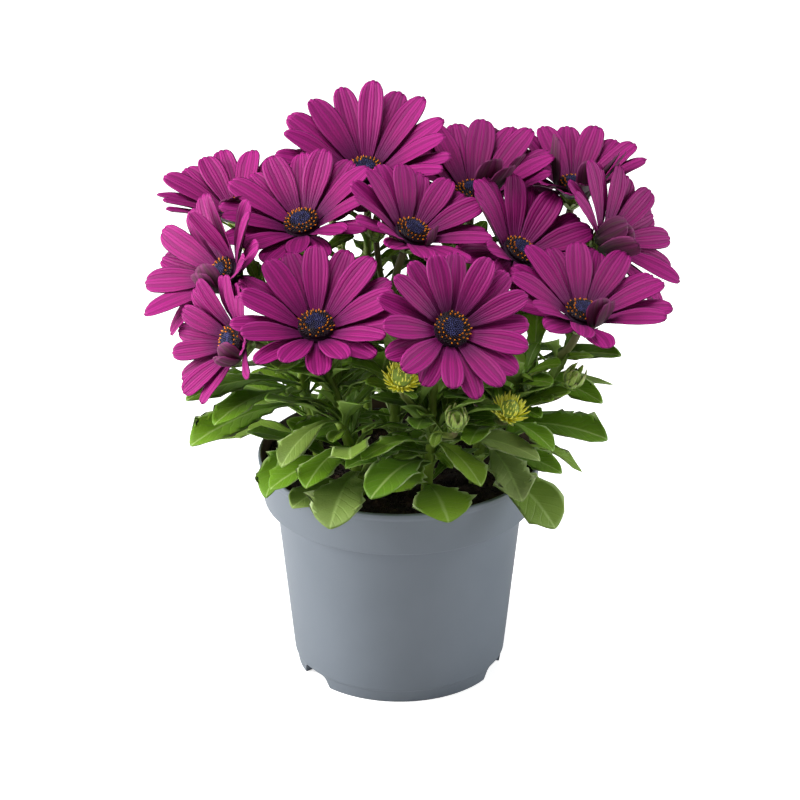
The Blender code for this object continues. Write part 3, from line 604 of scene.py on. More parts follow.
def blade_spine(start, heading, up, length, pitch0, pitch1, s):
    """Point, forward and normal directions at share s of a steadily bending midrib."""
    a = math.radians(pitch0)
    k = math.radians(pitch1 - pitch0)
    if abs(k) < 1e-4:
        k = 1e-4
    angle = a + k * s
    ahead = (math.sin(angle) - math.sin(a)) / k
    above = (math.cos(a) - math.cos(angle)) / k
    point = start + (heading * ahead + up * above) * length
    forward = heading * math.cos(angle) + up * math.sin(angle)
    normal = up * math.cos(angle) - heading * math.sin(angle)
    return point, forward, normal


def bent(spec, offset):
    """The same blade with a length, pitch and turn offset applied."""
    start, heading, up, length, width, pitch0, pitch1, roll = spec
    share, pitch, turn = offset
    turned = Matrix.Rotation(math.radians(turn), 3, up) @ heading
    return start, turned, up, length * share, width, pitch0 + 0.5 * pitch, pitch1 + pitch, roll


def corner_finder(node):
    """Search tree over the corners of a CAD node, in millimetres."""
    corners = frame["nodes"][node].data.vertices
    tree = KDTree(len(corners))
    for k, vertex in enumerate(corners):
        tree.insert(vertex.co / MM, k)
    tree.balance()
    return tree


def bent_to_match(spec, finder, bends):
    """The blade bent so that its tip meets a corner of the solid, or None."""
    for offset in bends:
        blade = bent(spec, offset)
        start, heading, up, length, _, pitch0, pitch1, _ = blade
        tip, _, _ = blade_spine(start, heading, up, length, pitch0, pitch1, 1.0)
        if finder.find(tip)[2] < MATCH:
            return blade
    return None


class Skin:
    """Faces gathered for one piece, with each point's place on its blade and its tone."""

    def __init__(self):
        self.verts = []
        self.faces = []
        self.slots = []
        self.places = []
        self.tones = []

    def add(self, verts, faces, slots, places, tone):
        offset = len(self.verts)
        self.verts.extend(verts)
        self.faces.extend([tuple(v + offset for v in face) for face in faces])
        self.slots.extend(slots)
        self.places.extend(places)
        self.tones.extend([tone] * len(verts))

    def piece(self, name, *finishes):
        mesh = new_mesh(name, [v * MM for v in self.verts], self.faces)
        for finish in finishes:
            mesh.materials.append(finish.material)
        mesh.polygons.foreach_set("material_index", self.slots)
        layer = mesh.uv_layers.new(name="blade")
        loops = [0] * len(mesh.loops)
        mesh.loops.foreach_get("vertex_index", loops)
        layer.data.foreach_set("uv", [c for v in loops for c in self.places[v]])
        tone = mesh.attributes.new("tone", "FLOAT", "POINT")
        tone.data.foreach_set("value", self.tones)
        mesh.shade_smooth()
        mesh.update()
        return place_object(name, mesh)


def add_blade(skin, spec, outline, relief, reach, rows, columns, thick, tone, slots, first=0.0):
    """Thin closed blade: a face and a back that meet along the edge and the tip.

    outline(s, u) gives the half width share, relief(s, u, half) the rise of the
    surface over the midrib and reach(u) how far each lengthwise strip runs.
    """
    start, heading, up, length, width, pitch0, pitch1, roll = spec
    verts = []
    places = []
    grid = []
    for r in range(rows + 1):
        line = []
        for c in range(columns + 1):
            u = -1.0 + 2.0 * c / columns
            s = first + (reach(u) - first) * r / rows
            point, forward, normal = blade_spine(start, heading, up, length, pitch0, pitch1, s)
            normal = Matrix.Rotation(math.radians(roll) * max(s, 0.0), 3, forward) @ normal
            half = 0.5 * width * outline(s, u)
            middle = point + forward.cross(normal) * (u * half) + normal * relief(s, u, half)
            depth = 0.5 * thick * (1.0 - abs(u) ** 3 * 0.5)
            sheets = [middle + normal * depth, middle - normal * depth]
            if c in (0, columns) or r == rows:
                sheets = [middle]
            line.append((len(verts), len(verts) + len(sheets) - 1))
            verts.extend(sheets)
            places.extend([(0.5 + 0.5 * u, max(s, 0.0))] * len(sheets))
        grid.append(line)
    faces = []
    kinds = []
    for low, high in zip(grid, grid[1:]):
        for a, b, d, e in zip(low, low[1:], high, high[1:]):
            faces.append((b[0], e[0], d[0], a[0]))
            kinds.append(slots[0])
            if (a[1], b[1], e[1], d[1]) != (a[0], b[0], e[0], d[0]):
                faces.append((d[1], e[1], b[1], a[1]))
                kinds.append(slots[1])
    for a, b in zip(grid[0], grid[0][1:]):
        cap = tuple(dict.fromkeys((a[0], b[0], b[1], a[1])))
        if len(cap) > 2:
            faces.append(cap[::-1])
            kinds.append(slots[1])
    skin.add(verts, faces, kinds, places, tone)


def add_plug(skin, foot, rings, tip, slot, place):
    """Closed round body on rings that run from one point to another."""
    sides = len(rings[0])
    verts = [foot, *(v for ring in rings for v in ring), tip]
    last = len(verts) - 1
    faces = []
    for i in range(sides):
        j = (i + 1) % sides
        faces.append((0, 1 + j, 1 + i))
        for low in range(1, last - sides, sides):
            faces.append((low + i, low + j, low + sides + j, low + sides + i))
        faces.append((last - sides + i, last - sides + j, last))
    skin.add(verts, faces, [slot] * len(faces), [place] * len(verts), 0.5)


def bloom_axes(bloom):
    """Foot of a bloom's hub, and the direction it faces."""
    _, centre, azimuth, elevation, _, _, _ = bloom
    axis = direction(azimuth, elevation)
    return Vector(centre) - axis * BASE_DEPTH, axis


def petal_specs(bloom):
    """Petals in two layers; the seeded draws give each its own set."""
    name, _, _, _, cup, spin, size = bloom
    base, axis = bloom_axes(bloom)
    uphill, sideways = frame_about(axis)
    rng = random.Random(SEED * 100 + int(name[-2:]))
    curls = CURLED.get(name, {})
    specs = []
    for i in range(PETAL_COUNT):
        wander, lean, stretch, breadth, roll = (rng.uniform(*span) for span in PETAL_DRAWS)
        angle = math.radians(360.0 / PETAL_COUNT * i + spin + wander)
        heading = uphill * math.cos(angle) + sideways * math.sin(angle)
        layer = -LAYER_PITCH if i % 2 else 0.0
        pitch0 = cup + PETAL_BEND + layer + lean
        pitch1 = cup - PETAL_BEND + layer + lean
        length = PETAL_LENGTH * size * stretch
        if i in curls:
            pitch0, pitch1, share = curls[i]
            length *= share
            roll = 0.0
        lift = PETAL_LIFT - (LAYER_DROP if i % 2 else 0.0)
        start = base + axis * lift + heading * HUB_RADIUS
        width = PETAL_WIDTH * breadth * min(size, 1.04)
        specs.append((start, heading, axis, length, width, pitch0, pitch1, roll))
    return specs


def outline_of(table):
    """Outline that is alike on both sides of a blade."""

    def outline(s, u):
        return along_table(table, s)

    return outline


def petal_reach(u):
    notch = 0.010 * math.exp(-((abs(u) - 0.30) / 0.12) ** 2)
    return 1.0 - 0.12 * (1.0 - math.sqrt(max(0.0, 1.0 - u * u))) - notch


def petal_relief(wave, phase):
    """Shallow channel with two lengthwise furrows and an edge that ripples a little."""

    def rise(s, u, half):
        furrow = math.exp(-((abs(u) - FURROW_PLACE) / FURROW_WIDTH) ** 2) * min(1.0, 6.0 * max(s, 0.0))
        ripple = wave * u * u * math.sin(9.0 * s + phase + (2.0 if u > 0 else 0.0)) * s
        curl = -0.6 * u * u * max(0.0, s - 0.75)
        return PETAL_CHANNEL * half * abs(u) ** 1.4 - furrow * FURROW_DEPTH + ripple + curl

    return rise


# Lengthwise veins of a blade, from its own place map: fine lines, furrows and the edge.
veins, given = new_group(
    "blade_lines", "Shader", floats("Lines", "Wander"), floats("Line", "Furrow", "Edge", "Along", "Across")
)
spot = veins.put("ShaderNodeTexCoord")["Object"]
drift = veins.put("ShaderNodeTexNoise", {"Vector": spot, "Scale": 160.0, "Detail": 2.0})["Fac"] - 0.5
at = veins.put("ShaderNodeSeparateXYZ", {0: veins.put("ShaderNodeUVMap", uv_map="blade")[0]})
across = at["X"] + drift * given["Wander"]
wave = (across * given["Lines"] * 6.2832).math("COSINE") * 0.5 + 0.5
mirror = (across * 2.0 - 1.0).math("ABSOLUTE")
furrow = (mirror - FURROW_PLACE).math("ABSOLUTE") * -6.0 + 1.0
rim = {"Value": mirror, "From Min": 0.82, "From Max": 1.0}
veins.give({
    "Line": wave ** 3.5,
    "Furrow": veins.put("ShaderNodeClamp", {0: furrow})[0],
    "Edge": veins.put("ShaderNodeMapRange", rim)[0],
    "Along": at["Y"],
    "Across": mirror,
})


def blade_lines(paint, lines, wander):
    return paint.put("ShaderNodeGroup", {"Lines": lines, "Wander": wander}, node_tree=veins.tree)


def tone_of(paint):
    return paint.put("ShaderNodeAttribute", attribute_name="tone")["Fac"]


# Purple velvet face, darker towards the root and in its furrows, with a pale edge.
sheen = {"Sheen Weight": 0.06, "Sheen Roughness": 0.45, "Sheen Tint": (1.0, 0.35, 0.80)}
petal_face = Finish("petal_face", 0.55, 0.22, sheen)
blade = blade_lines(petal_face, 8.0, 0.05)
cloud, grain = mottle(petal_face, 70.0, 1800.0)
purples = (
    (0.0, (0.022, 0.002, 0.024)), (0.14, (0.080, 0.002, 0.058)),
    (0.42, (0.275, 0.004, 0.132)), (1.0, (0.370, 0.008, 0.200)),
)
colour = veiled(
    petal_face,
    ramp(petal_face, blade["Along"], purples),
    (tone_of(petal_face), 0.42, (0.480, 0.012, 0.250)),
    (blade["Line"], 0.40, (0.105, 0.002, 0.055)),
    (blade["Furrow"], 0.62, (0.110, 0.003, 0.065)),
    (blade["Edge"], 0.22, (0.56, 0.08, 0.38)),
    (cloud, 0.35, (0.190, 0.005, 0.100)),
)
coat(petal_face, colour, blade["Line"] * -0.7 + grain * 0.3, 0.55, 0.0005)

# Dull back with bronze-green stripes along the furrows.
petal_back = Finish("petal_back", 0.6, 0.2, {"Sheen Weight": 0.05})
blade = blade_lines(petal_back, 5.0, 0.08)
bronzes = (
    (0.0, (0.045, 0.040, 0.022)), (0.25, (0.075, 0.024, 0.048)),
    (0.70, (0.125, 0.022, 0.075)), (1.0, (0.200, 0.024, 0.120)),
)
colour = veiled(
    petal_back,
    ramp(petal_back, blade["Along"], bronzes),
    (blade["Furrow"], 0.60, (0.050, 0.036, 0.024)),
    (blade["Line"], 0.35, (0.030, 0.006, 0.020)),
    (blade["Edge"], 0.5, (0.34, 0.03, 0.20)),
)
coat(petal_back, colour, blade["Line"], 0.3, 0.0003)

hub_stops = ((0.35, (0.018, 0.004, 0.018)), (0.65, (0.048, 0.012, 0.040)))
hub_skin = speckled("bloom_hub", 0.7, 0.2, (300.0, 1800.0), hub_stops, 0.3, 0.0003)

petal_outline = outline_of(PETAL_OUTLINE)
for bloom in BLOOMS:
    name = bloom[0]
    finder = corner_finder(name + "_rays")
    rng = random.Random(SEED * 10 + int(name[-2:]))
    skin = Skin()
    for spec in petal_specs(bloom):
        tone = rng.uniform(0.0, 1.0)
        relief = petal_relief(rng.uniform(0.15, 0.55), rng.uniform(0.0, FULL_TURN))
        blade = bent_to_match(spec, finder, PETAL_BENDS)
        if blade:
            add_blade(
                skin, blade, petal_outline, relief, petal_reach, *PETAL_GRID, tone, (0, 1), first=-0.08
            )
    base, axis = bloom_axes(bloom)
    rings = []
    for radius, rise in HUB_RINGS:
        rings.append(ring_at(base + axis * rise, *frame_about(axis), radius, HUB_SIDES))
    add_plug(skin, base + axis * 0.1, rings, base + axis * HUB_DEPTH, 2, (0.5, 0.0))
    petals = skin.piece(name + "_petals", petal_face, petal_back, hub_skin)
    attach(petals, "root")
    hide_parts(name + "_rays")

# The discs: a low dome of closed navy-blue florets in the sunflower spiral, ringed
# by near-black open florets, many of them tipped with orange pollen.

DISC_RADIUS = 7.25
DISC_TOP = 6.1
DISC_EDGE = 4.0
DISC_CUSHION = (
    (0.0, 3.0), (6.6, 3.0), (7.25, 3.5), (6.9, 4.1), (5.6, 4.7), (3.8, 5.3), (1.8, 5.7), (0.0, 5.8)
)
CUSHION_SIDES = 28
FLORET_COUNT = 250
FLORET_SIZE = 0.42
CLOSED_SHARE = 0.32
GOLDEN_ANGLE = 2.399963

navy_stops = ((0.35, (0.010, 0.008, 0.042)), (0.52, (0.022, 0.022, 0.098)), (0.70, (0.066, 0.072, 0.230)))
black_stops = ((0.35, (0.006, 0.003, 0.006)), (0.70, (0.030, 0.010, 0.024)))
orange_stops = ((0.35, (0.62, 0.135, 0.006)), (0.65, (0.92, 0.30, 0.015)))
closed_floret = speckled("closed_floret", 0.5, 0.4, (500.0, 2500.0), navy_stops)
open_floret = speckled("open_floret", 0.55, 0.4, (420.0, 2500.0), black_stops)
orange_pollen = speckled("orange_pollen", 0.75, 0.2, (700.0, 3000.0), orange_stops)

florets, given = new_tree(
    "disc_florets",
    {
        "Count": "Int",
        **floats("Radius", "Top", "Edge", "Floret Size", "Closed Share"),
        "Place": "Vector",
        "Turn": "Vector",
        "Seed": "Int",
    },
)
put = florets.put
index = put("GeometryNodeInputIndex")[0]
share = (index + 0.5).math("DIVIDE", given["Count"])
outward = share.math("SQRT") * given["Radius"]
angle = index * GOLDEN_ANGLE
fall = share ** 1.3 * (given["Top"] - given["Edge"])
spot = {"X": outward * angle.math("COSINE"), "Y": outward * angle.math("SINE"), "Z": given["Top"] - fall}
points = {"Count": given["Count"], "Position": put("ShaderNodeCombineXYZ", spot)[0]}
draw = put("FunctionNodeRandomValue", {"Seed": given["Seed"]}, data_type="FLOAT")[1]
is_open = share.math("GREATER_THAN", given["Closed Share"])
is_fourth = index.math("MODULO", 4.0).math("LESS_THAN", 0.5)
is_dusted = is_open * is_fourth * draw.math("GREATER_THAN", 0.10)
kind = is_open + is_dusted + 1.0
mark = {"Geometry": put("GeometryNodePoints", points)[0], "Name": "kind", "Value": kind}
wide = (is_open * -0.12 + 0.98) * given["Floret Size"]
tall = (is_open * 0.5 + is_dusted * 0.7 + 1.2) * given["Floret Size"]
stamp = {
    "Points": put("GeometryNodeStoreNamedAttribute", mark, data_type="FLOAT", domain="POINT")[0],
    "Instance": put("GeometryNodeMeshIcoSphere", {"Radius": 1.0, "Subdivisions": 1})["Mesh"],
    "Scale": put("ShaderNodeCombineXYZ", {"X": wide, "Y": wide, "Z": tall})[0],
    "Rotation": put("ShaderNodeCombineXYZ", {"Y": share * 0.9, "Z": angle})[0],
}
dome = joined(florets, put("GeometryNodeInstanceOnPoints", stamp)[0], given["Geometry"])
move = {"Geometry": dome, "Translation": given["Place"], "Rotation": given["Turn"]}
shape = put("GeometryNodeRealizeInstances", {0: put("GeometryNodeTransform", move)[0]})[0]
kind = put("GeometryNodeInputNamedAttribute", {"Name": "kind"}, data_type="FLOAT")[0]
for number, finish in ((1.0, closed_floret), (2.0, open_floret), (3.0, orange_pollen)):
    chosen = put("FunctionNodeCompare", {0: kind, 1: number, "Epsilon": 0.3}, operation="EQUAL")[0]
    paint = {"Geometry": shape, "Selection": chosen, "Material": finish.material}
    shape = put("GeometryNodeSetMaterial", paint)[0]
florets.give({"Geometry": shape})

for bloom in BLOOMS:
    name = bloom[0]
    base, axis = bloom_axes(bloom)
    disc = place_object(name + "_florets", turned_mesh(name + "_florets", DISC_CUSHION, CUSHION_SIDES))
    disc.data.materials.append(open_floret.material)
    stand = Matrix((*frame_about(axis), axis)).transposed()
    grow(
        disc,
        florets.tree,
        {
            "Count": FLORET_COUNT,
            "Radius": DISC_RADIUS * MM,
            "Top": DISC_TOP * MM,
            "Edge": DISC_EDGE * MM,
            "Floret Size": FLORET_SIZE * MM,
            "Closed Share": CLOSED_SHARE,
            "Place": tuple(base * MM),
            "Turn": tuple(stand.to_euler()),
            "Seed": int(name[-2:]),
        },
    )
    disc.data.shade_smooth()
    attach(disc, "root")
    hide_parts(name + "_disc")

# The buds: opening ones are tufts of still folded yellow rays that curl in over the
# middle above a cup of bracts, closed ones are wrapped in pointed green bracts.

BUDS = (
    ("bud_1", (0.8, -53.0, 156.5), -85, 55, 7.0, 9.5, "opening"),
    ("bud_2", (45.3, -44.0, 138.0), -70, 60, 6.6, 9.5, "opening"),
    ("bud_3", (23.0, -52.0, 137.5), -85, 75, 3.9, 8.6, "closed"),
    ("bud_4", (72.0, -30.0, 145.5), -40, 60, 3.7, 8.4, "closed"),
    ("bud_5", (-10.2, 18.0, 192.0), -100, 70, 3.8, 8.8, "closed"),
)

# Rings of blades: count, root radius and length as shares of the bud's, width (in mm,
# or as a share of the radius), pitch at root and tip, lift, skin, unevenness
OPENING_RINGS = (
    (22, 0.26, 0.86, 1.35, 14, 62, 0.2, 0, 9.0),
    (22, 0.24, 0.90, 1.30, 32, 78, 0.4, 0, 10.0),
    (18, 0.20, 0.92, 1.25, 50, 92, 0.6, 0, 10.0),
    (12, 0.14, 0.92, 1.20, 66, 102, 0.7, 0, 9.0),
    (6, 0.08, 0.86, 1.20, 80, 104, 0.7, 0, 7.0),
    (12, 0.28, 0.66, 1.80, 4, 50, 0.0, 1, 10.0),
)
CLOSED_RINGS = (
    (9, 0.36, 1.16, 0.72, 40, 118, 0.3, 1, 3.0),
    (9, 0.42, 0.98, 0.70, 36, 112, 0.1, 1, 3.0),
    (8, 0.45, 0.76, 0.60, 28, 96, 0.0, 1, 7.0),
)
CORE_SHARES = (0.06, 0.20, 0.40, 0.60, 0.78, 0.92)
CORE_SIDES = 14
SPIKE_GRID = (8, 4, 0.45)

spike_outline = outline_of(((0.0, 0.75), (0.25, 1.0), (0.6, 0.82), (0.85, 0.42), (1.0, 0.10)))


def straight_reach(u):
    return 1.0


def trough(s, u, half):
    return -0.30 * half * u * u


folded_ray = Finish("folded_ray", 0.55, 0.3)
blade = blade_lines(folded_ray, 3.0, 0.04)
yellows = ((0.0, (0.55, 0.58, 0.035)), (0.35, (0.94, 0.90, 0.070)), (1.0, (1.0, 0.97, 0.20)))
colour = ramp(folded_ray, blade["Along"], yellows)
coat(folded_ray, veiled(folded_ray, colour, (blade["Line"], 0.28, (0.52, 0.54, 0.04))))

bract_green = Finish("bract_green", 0.55, 0.3, {"Sheen Weight": 0.3})
blade = blade_lines(bract_green, 2.0, 0.04)
greens = ((0.0, (0.220, 0.360, 0.040)), (0.7, (0.340, 0.480, 0.080)), (1.0, (0.240, 0.200, 0.080)))
colour = ramp(bract_green, blade["Along"], greens)
coat(bract_green, veiled(bract_green, colour, (blade["Edge"], 0.6, (0.50, 0.62, 0.22))))


def add_ring(skin, rng, base, axis, count, radius, length, width, pitch0, pitch1, lift, slot, spread):
    """Ring of small pointed blades round an axis, each a little different."""
    uphill, sideways = frame_about(axis)
    for i in range(count):
        angle = 2.0 * math.pi * (i + rng.uniform(-0.22, 0.22)) / count
        heading = uphill * math.cos(angle) + sideways * math.sin(angle)
        start = base + axis * lift + heading * radius
        spec = (
            start, heading, axis, length * rng.uniform(0.9, 1.08), width,
            pitch0 + rng.uniform(-spread, spread), pitch1 + rng.uniform(-spread, spread), 0.0,
        )
        tone = rng.uniform(0.0, 1.0)
        add_blade(skin, spec, spike_outline, trough, straight_reach, *SPIKE_GRID, tone, (slot, slot))


for name, centre, azimuth, elevation, radius, length, kind in BUDS:
    opening = kind == "opening"
    axis = direction(azimuth, elevation)
    base = Vector(centre) - axis * length * 0.5
    rng = random.Random(SEED + int(name[-1]))
    skin = Skin()
    girth = radius * (0.62 if opening else 0.84)
    core = length * 0.86
    rings = []
    for share in CORE_SHARES:
        swell = girth * math.sin(math.pi * share) ** 0.6
        rings.append(ring_at(base + axis * core * share, *frame_about(axis), swell, CORE_SIDES))
    add_plug(skin, base, rings, base + axis * core, 1, (0.5, 0.5))
    for count, root, long, width, *rest in OPENING_RINGS if opening else CLOSED_RINGS:
        width *= 1.0 if opening else radius
        add_ring(skin, rng, base, axis, count, root * radius, length * long, width, *rest)
    piece = skin.piece(name + "_tuft", folded_ray, bract_green)
    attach(piece, "root")
    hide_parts(name)

# The shoots: each is one soft green stem rooted in the soil, parting into flower
# stalks that carry the blooms in cups of pointed bracts, with toothed spoon-shaped
# leaves set spirally up it.

TRUNK_RADIUS = 2.5
STALK_RADIUS = 1.7
ROOT_DEPTH = 8.0
CUP_RADIUS = 5.6
CUP_DEPTH = 7.5
CUP_GAP = 0.35
CUP_SIDES = 20
CUP_GIRTHS = ((0.0, 0.30), (0.3, 0.44), (0.6, 0.70), (0.85, 0.92), (1.0, 0.98))
BRACT_STANCE = (52, 36, 0.5, 3, 6.0)
LEAF_GRID = (42, 12, 0.8)
LEAF_CHANNEL = 0.20
LEAF_TURN = 137.5
STALK_LEAVES = 2
TRUNK_DRAWS = {
    "length": (44.0, 60.0), "lift": (2.0, 26.0), "width": (0.25, 0.33),
    "arch": (14.0, 28.0), "roll": (-22.0, 22.0), "sway": (-14.0, 14.0),
}
STALK_DRAWS = {**TRUNK_DRAWS, "length": (30.0, 42.0), "lift": (10.0, 46.0)}
TOOTH_RUN = 0.075
TOOTH_DROP = 0.025

# Shoots: root on the soil, fork where its stalks part, what it carries, ruled leaves on its trunk
SHOOTS = (
    ("shoot_1", (-16.0, -27.0), (-25.0, -31.0, 126.0), ("bloom_03", "bloom_07"), 3),
    ("shoot_2", (11.0, -30.0), (14.0, -35.0, 122.0), ("bloom_01", "bud_1", "bud_3"), 3),
    ("shoot_3", (31.0, -17.0), (39.0, -22.0, 122.0), ("bloom_02", "bud_2", "bud_4"), 2),
    ("shoot_4", (33.0, 12.0), (45.0, 14.0, 128.0), ("bloom_05", "bloom_11"), 3),
    ("shoot_5", (17.0, 30.0), (30.0, 42.0, 128.0), ("bloom_10", "bloom_12", "bloom_14"), 3),
    ("shoot_6", (-14.0, 31.0), (-15.0, 46.0, 128.0), ("bloom_09", "bloom_15"), 3),
    ("shoot_7", (-34.0, 5.0), (-42.0, 8.0, 126.0), ("bloom_06", "bloom_08", "bloom_13"), 3),
    ("shoot_8", (-2.0, 1.0), (-2.0, 2.0, 124.0), ("bloom_04", "bud_5"), 4),
)

# Leaves laid one by one: place along the shoot's trunk, tip, width, arch, roll
LEAVES = {
    "shoot_1": (
        (0.42, (-28.3, -72, 96.5), 21, 26, 0), (0.99, (-48, -62, 119.5), 12.5, 34, 0),
        (0.97, (-55, -47, 143), 14, 16, 10), (0.60, (-53, -55, 106), 17, 20, 0),
        (0.70, (-38, -66, 112), 15, 24, 8), (0.30, (-44, -58, 99), 16, 18, -6),
        (0.90, (-16, -58, 146), 12, 22, -10),
    ),
    "shoot_2": (
        (0.62, (-7, -67, 111), 22, 14, -10), (0.86, (-15, -70, 126.5), 12.5, 22, 14),
        (0.90, (33, -67, 113.5), 13, 24, -8), (0.34, (20, -69, 98), 24, 20, 0),
        (0.97, (34, -58, 148), 12.5, 20, 8), (0.74, (-22, -60, 118), 13, 20, 6),
    ),
    "shoot_3": (
        (0.70, (50, -62, 104), 15, 24, 6), (0.40, (64, -55, 88), 23, 30, 4),
        (0.92, (86, -35, 119), 19, 18, 12), (0.56, (67, -40, 106), 14, 20, 0),
        (0.62, (76, -26, 96), 7, 34, 0), (0.99, (58, -52, 120), 13, 28, -16),
        (0.86, (22, -56, 128), 12, 24, 10), (0.94, (62, -40, 146), 12, 18, 0),
    ),
    "shoot_4": (
        (0.99, (92, -15, 148), 14, 16, 10), (0.92, (84, -25, 131), 13, 20, 8),
        (0.36, (79, 18, 96), 18, 26, 0), (0.56, (76, 44, 109), 17, 20, -6),
    ),
    "shoot_5": (
        (0.36, (30, 73, 97), 18, 24, 0), (0.50, (63, 60, 105), 18, 20, 6),
        (0.70, (8, 78, 113), 16, 22, -6),
    ),
    "shoot_6": (
        (0.36, (-34, 72, 97), 18, 24, 0), (0.54, (-62, 58, 107), 18, 20, -8),
        (0.74, (-12, 86, 120), 16, 20, 8),
    ),
    "shoot_7": (
        (0.96, (-88, -30, 134.5), 14, 20, -8), (0.76, (-86, -40, 118.5), 18, 18, -6),
        (0.88, (-76, -42, 129), 16, 22, 6), (0.99, (-70, -22, 146), 12, 20, 12),
        (0.36, (-80, 12, 97), 18, 26, 0), (0.58, (-77, 40, 110), 17, 20, 6),
    ),
    "shoot_8": ((0.99, (-4, -34, 150), 12, 20, 12), (0.94, (20, -30, 152), 12, 18, -8)),
}

# Small young leaves that fill the shoots, too fine for the solid
YOUNG_PER_TRUNK = 12
YOUNG_PER_STALK = 11
YOUNG_OUTER_RADIUS = 96.0
YOUNG_GRID = (18, 6, 0.6)
YOUNG_DRAWS = {
    "length": (20.0, 34.0), "width": (0.24, 0.36), "arch": (12.0, 30.0),
    "roll": (-25.0, 25.0), "sway": (-20.0, 20.0), "lift": (5.0, 55.0),
}
CLEARANCE = 1.2

# Offsets that leaves (length share, pitch, turn) and stalks (rise, sideways) may have been bent by
LEAF_BENDS = tuple(product((1.0, 0.88, 0.74), (0, 8, -8, 16, -16, 26, -26, 36), (0, -10, 10, -22, 22)))
STALK_BENDS = tuple(product((0.0, 6.0, -6.0), (0.0, 5.0, -5.0, 10.0, -10.0, 16.0, -16.0, 23.0, -23.0)))
LEAF_OUTLINE = (
    (0.0, 0.20), (0.12, 0.21), (0.28, 0.32), (0.42, 0.58), (0.56, 0.86),
    (0.68, 1.00), (0.79, 0.98), (0.89, 0.84), (1.0, 0.60),
)


def bezier(points, t):
    """Point and tangent of a Bezier curve of any degree."""
    layer = [Vector(p) for p in points]
    while len(layer) > 2:
        layer = [a.lerp(b, t) for a, b in zip(layer, layer[1:])]
    return layer[0].lerp(layer[1], t), (layer[1] - layer[0]).normalized()


def tube_rings(points, radius_start, radius_end, sides, rows):
    """Rings of a tapering stem along a Bezier curve, carried along without twist."""
    rings = []
    across = None
    for k in range(rows + 1):
        t = k / rows
        centre, tangent = bezier(points, t)
        if across is None:
            across, _ = frame_about(tangent)
        across = (across - tangent * across.dot(tangent)).normalized()
        radius = radius_start + (radius_end - radius_start) * t
        rings.append(ring_at(centre, across, tangent.cross(across), radius, sides))
    return rings


def add_tube(skin, rings, slot, tone, along_from, along_to):
    sides = len(rings[0])
    last = len(rings) - 1
    faces = []
    places = []
    for k in range(last + 1):
        v = along_from + (along_to - along_from) * k / last
        places.extend([(i / sides, v) for i in range(sides)])
    for low in range(0, last * sides, sides):
        for i in range(sides):
            j = (i + 1) % sides
            faces.append((low + i, low + j, low + sides + j, low + sides + i))
    faces.append(tuple(reversed(range(sides))))
    faces.append(tuple(range(last * sides, (last + 1) * sides)))
    skin.add([v for ring in rings for v in ring], faces, [slot] * len(faces), places, tone)


def shoot_trunk(shoot):
    _, (x, y), fork, _, _ = shoot
    foot = SOIL_TOP - ROOT_DEPTH
    return [Vector((x, y, foot)), Vector((x, y, 0.5 * (foot + fork[2]))), Vector(fork)]


def stalk_curve(shoot, end, axis, rise, side):
    """Flower stalk from the fork, leaving upward and arriving along the bloom's axis."""
    fork = Vector(shoot[2])
    start, _ = bezier(shoot_trunk(shoot), 0.90)
    reach = (end - fork).length
    across = Vector((0.0, 0.0, 1.0)).cross(end - fork)
    if across.length < 1e-3:
        across = Vector((1.0, 0.0, 0.0))
    across.normalize()
    leave = start + Vector((0.0, 0.0, 0.42 * reach + rise)) + across * side
    arrive = end - axis * 0.42 * reach + across * side * 0.4
    return [start, leave, arrive, end]


def leaf_spec(start, tip, width, arch, roll):
    """Leaf whose arched midrib joins two points."""
    chord = tip - start
    heading = chord.normalized()
    up = Vector((0.0, 0.0, 1.0)) - heading * heading.z
    up.normalize()
    bend = math.radians(arch)
    length = chord.length * bend / math.sin(bend)
    return start, heading, up, length, width, float(arch), float(-arch), float(roll)


def spiral_leaves(curves, rng, trunk_plan, stalk_plan):
    """Leaves spiralling up the trunk, then up each stalk.

    A plan gives their count, first place, run, shrinking and the spans of their draws.
    """
    turn = rng.uniform(0.0, 360.0)
    for curve, plan in zip(curves, (trunk_plan, *[stalk_plan] * len(curves))):
        count, first, run, shrink, spans = plan
        for k in range(count):
            turn += LEAF_TURN
            t = first + run * (k + 0.5) / count
            draw = {label: rng.uniform(*span) for label, span in spans.items()}
            length = draw["length"] * (1.0 - shrink * t)
            start, _ = bezier(curve, t)
            tip = start + direction(turn + draw["sway"], draw["lift"]) * length
            yield leaf_spec(start, tip, length * draw["width"], draw["arch"], draw["roll"])


def leaf_edge(rng):
    """Outline with a few coarse, uneven, forward-pointing teeth on each side."""
    teeth = {}
    for side, places in ((-1, (0.40, 0.54, 0.68, 0.82)), (1, (0.46, 0.60, 0.74, 0.86))):
        teeth[side] = [
            (place + rng.uniform(-0.05, 0.05), max(0.0, rng.uniform(-0.10, 0.46))) for place in places
        ]

    def outline(s, u):
        share = along_table(LEAF_OUTLINE, s)
        for place, size in teeth[-1 if u < 0 else 1]:
            before = s - (place - TOOTH_RUN)
            if 0.0 < before <= TOOTH_RUN:
                share += size * (before / TOOTH_RUN) ** 1.3
            elif TOOTH_RUN < before < TOOTH_RUN + TOOTH_DROP:
                share += size * (TOOTH_RUN + TOOTH_DROP - before) / TOOTH_DROP
        return share

    return outline


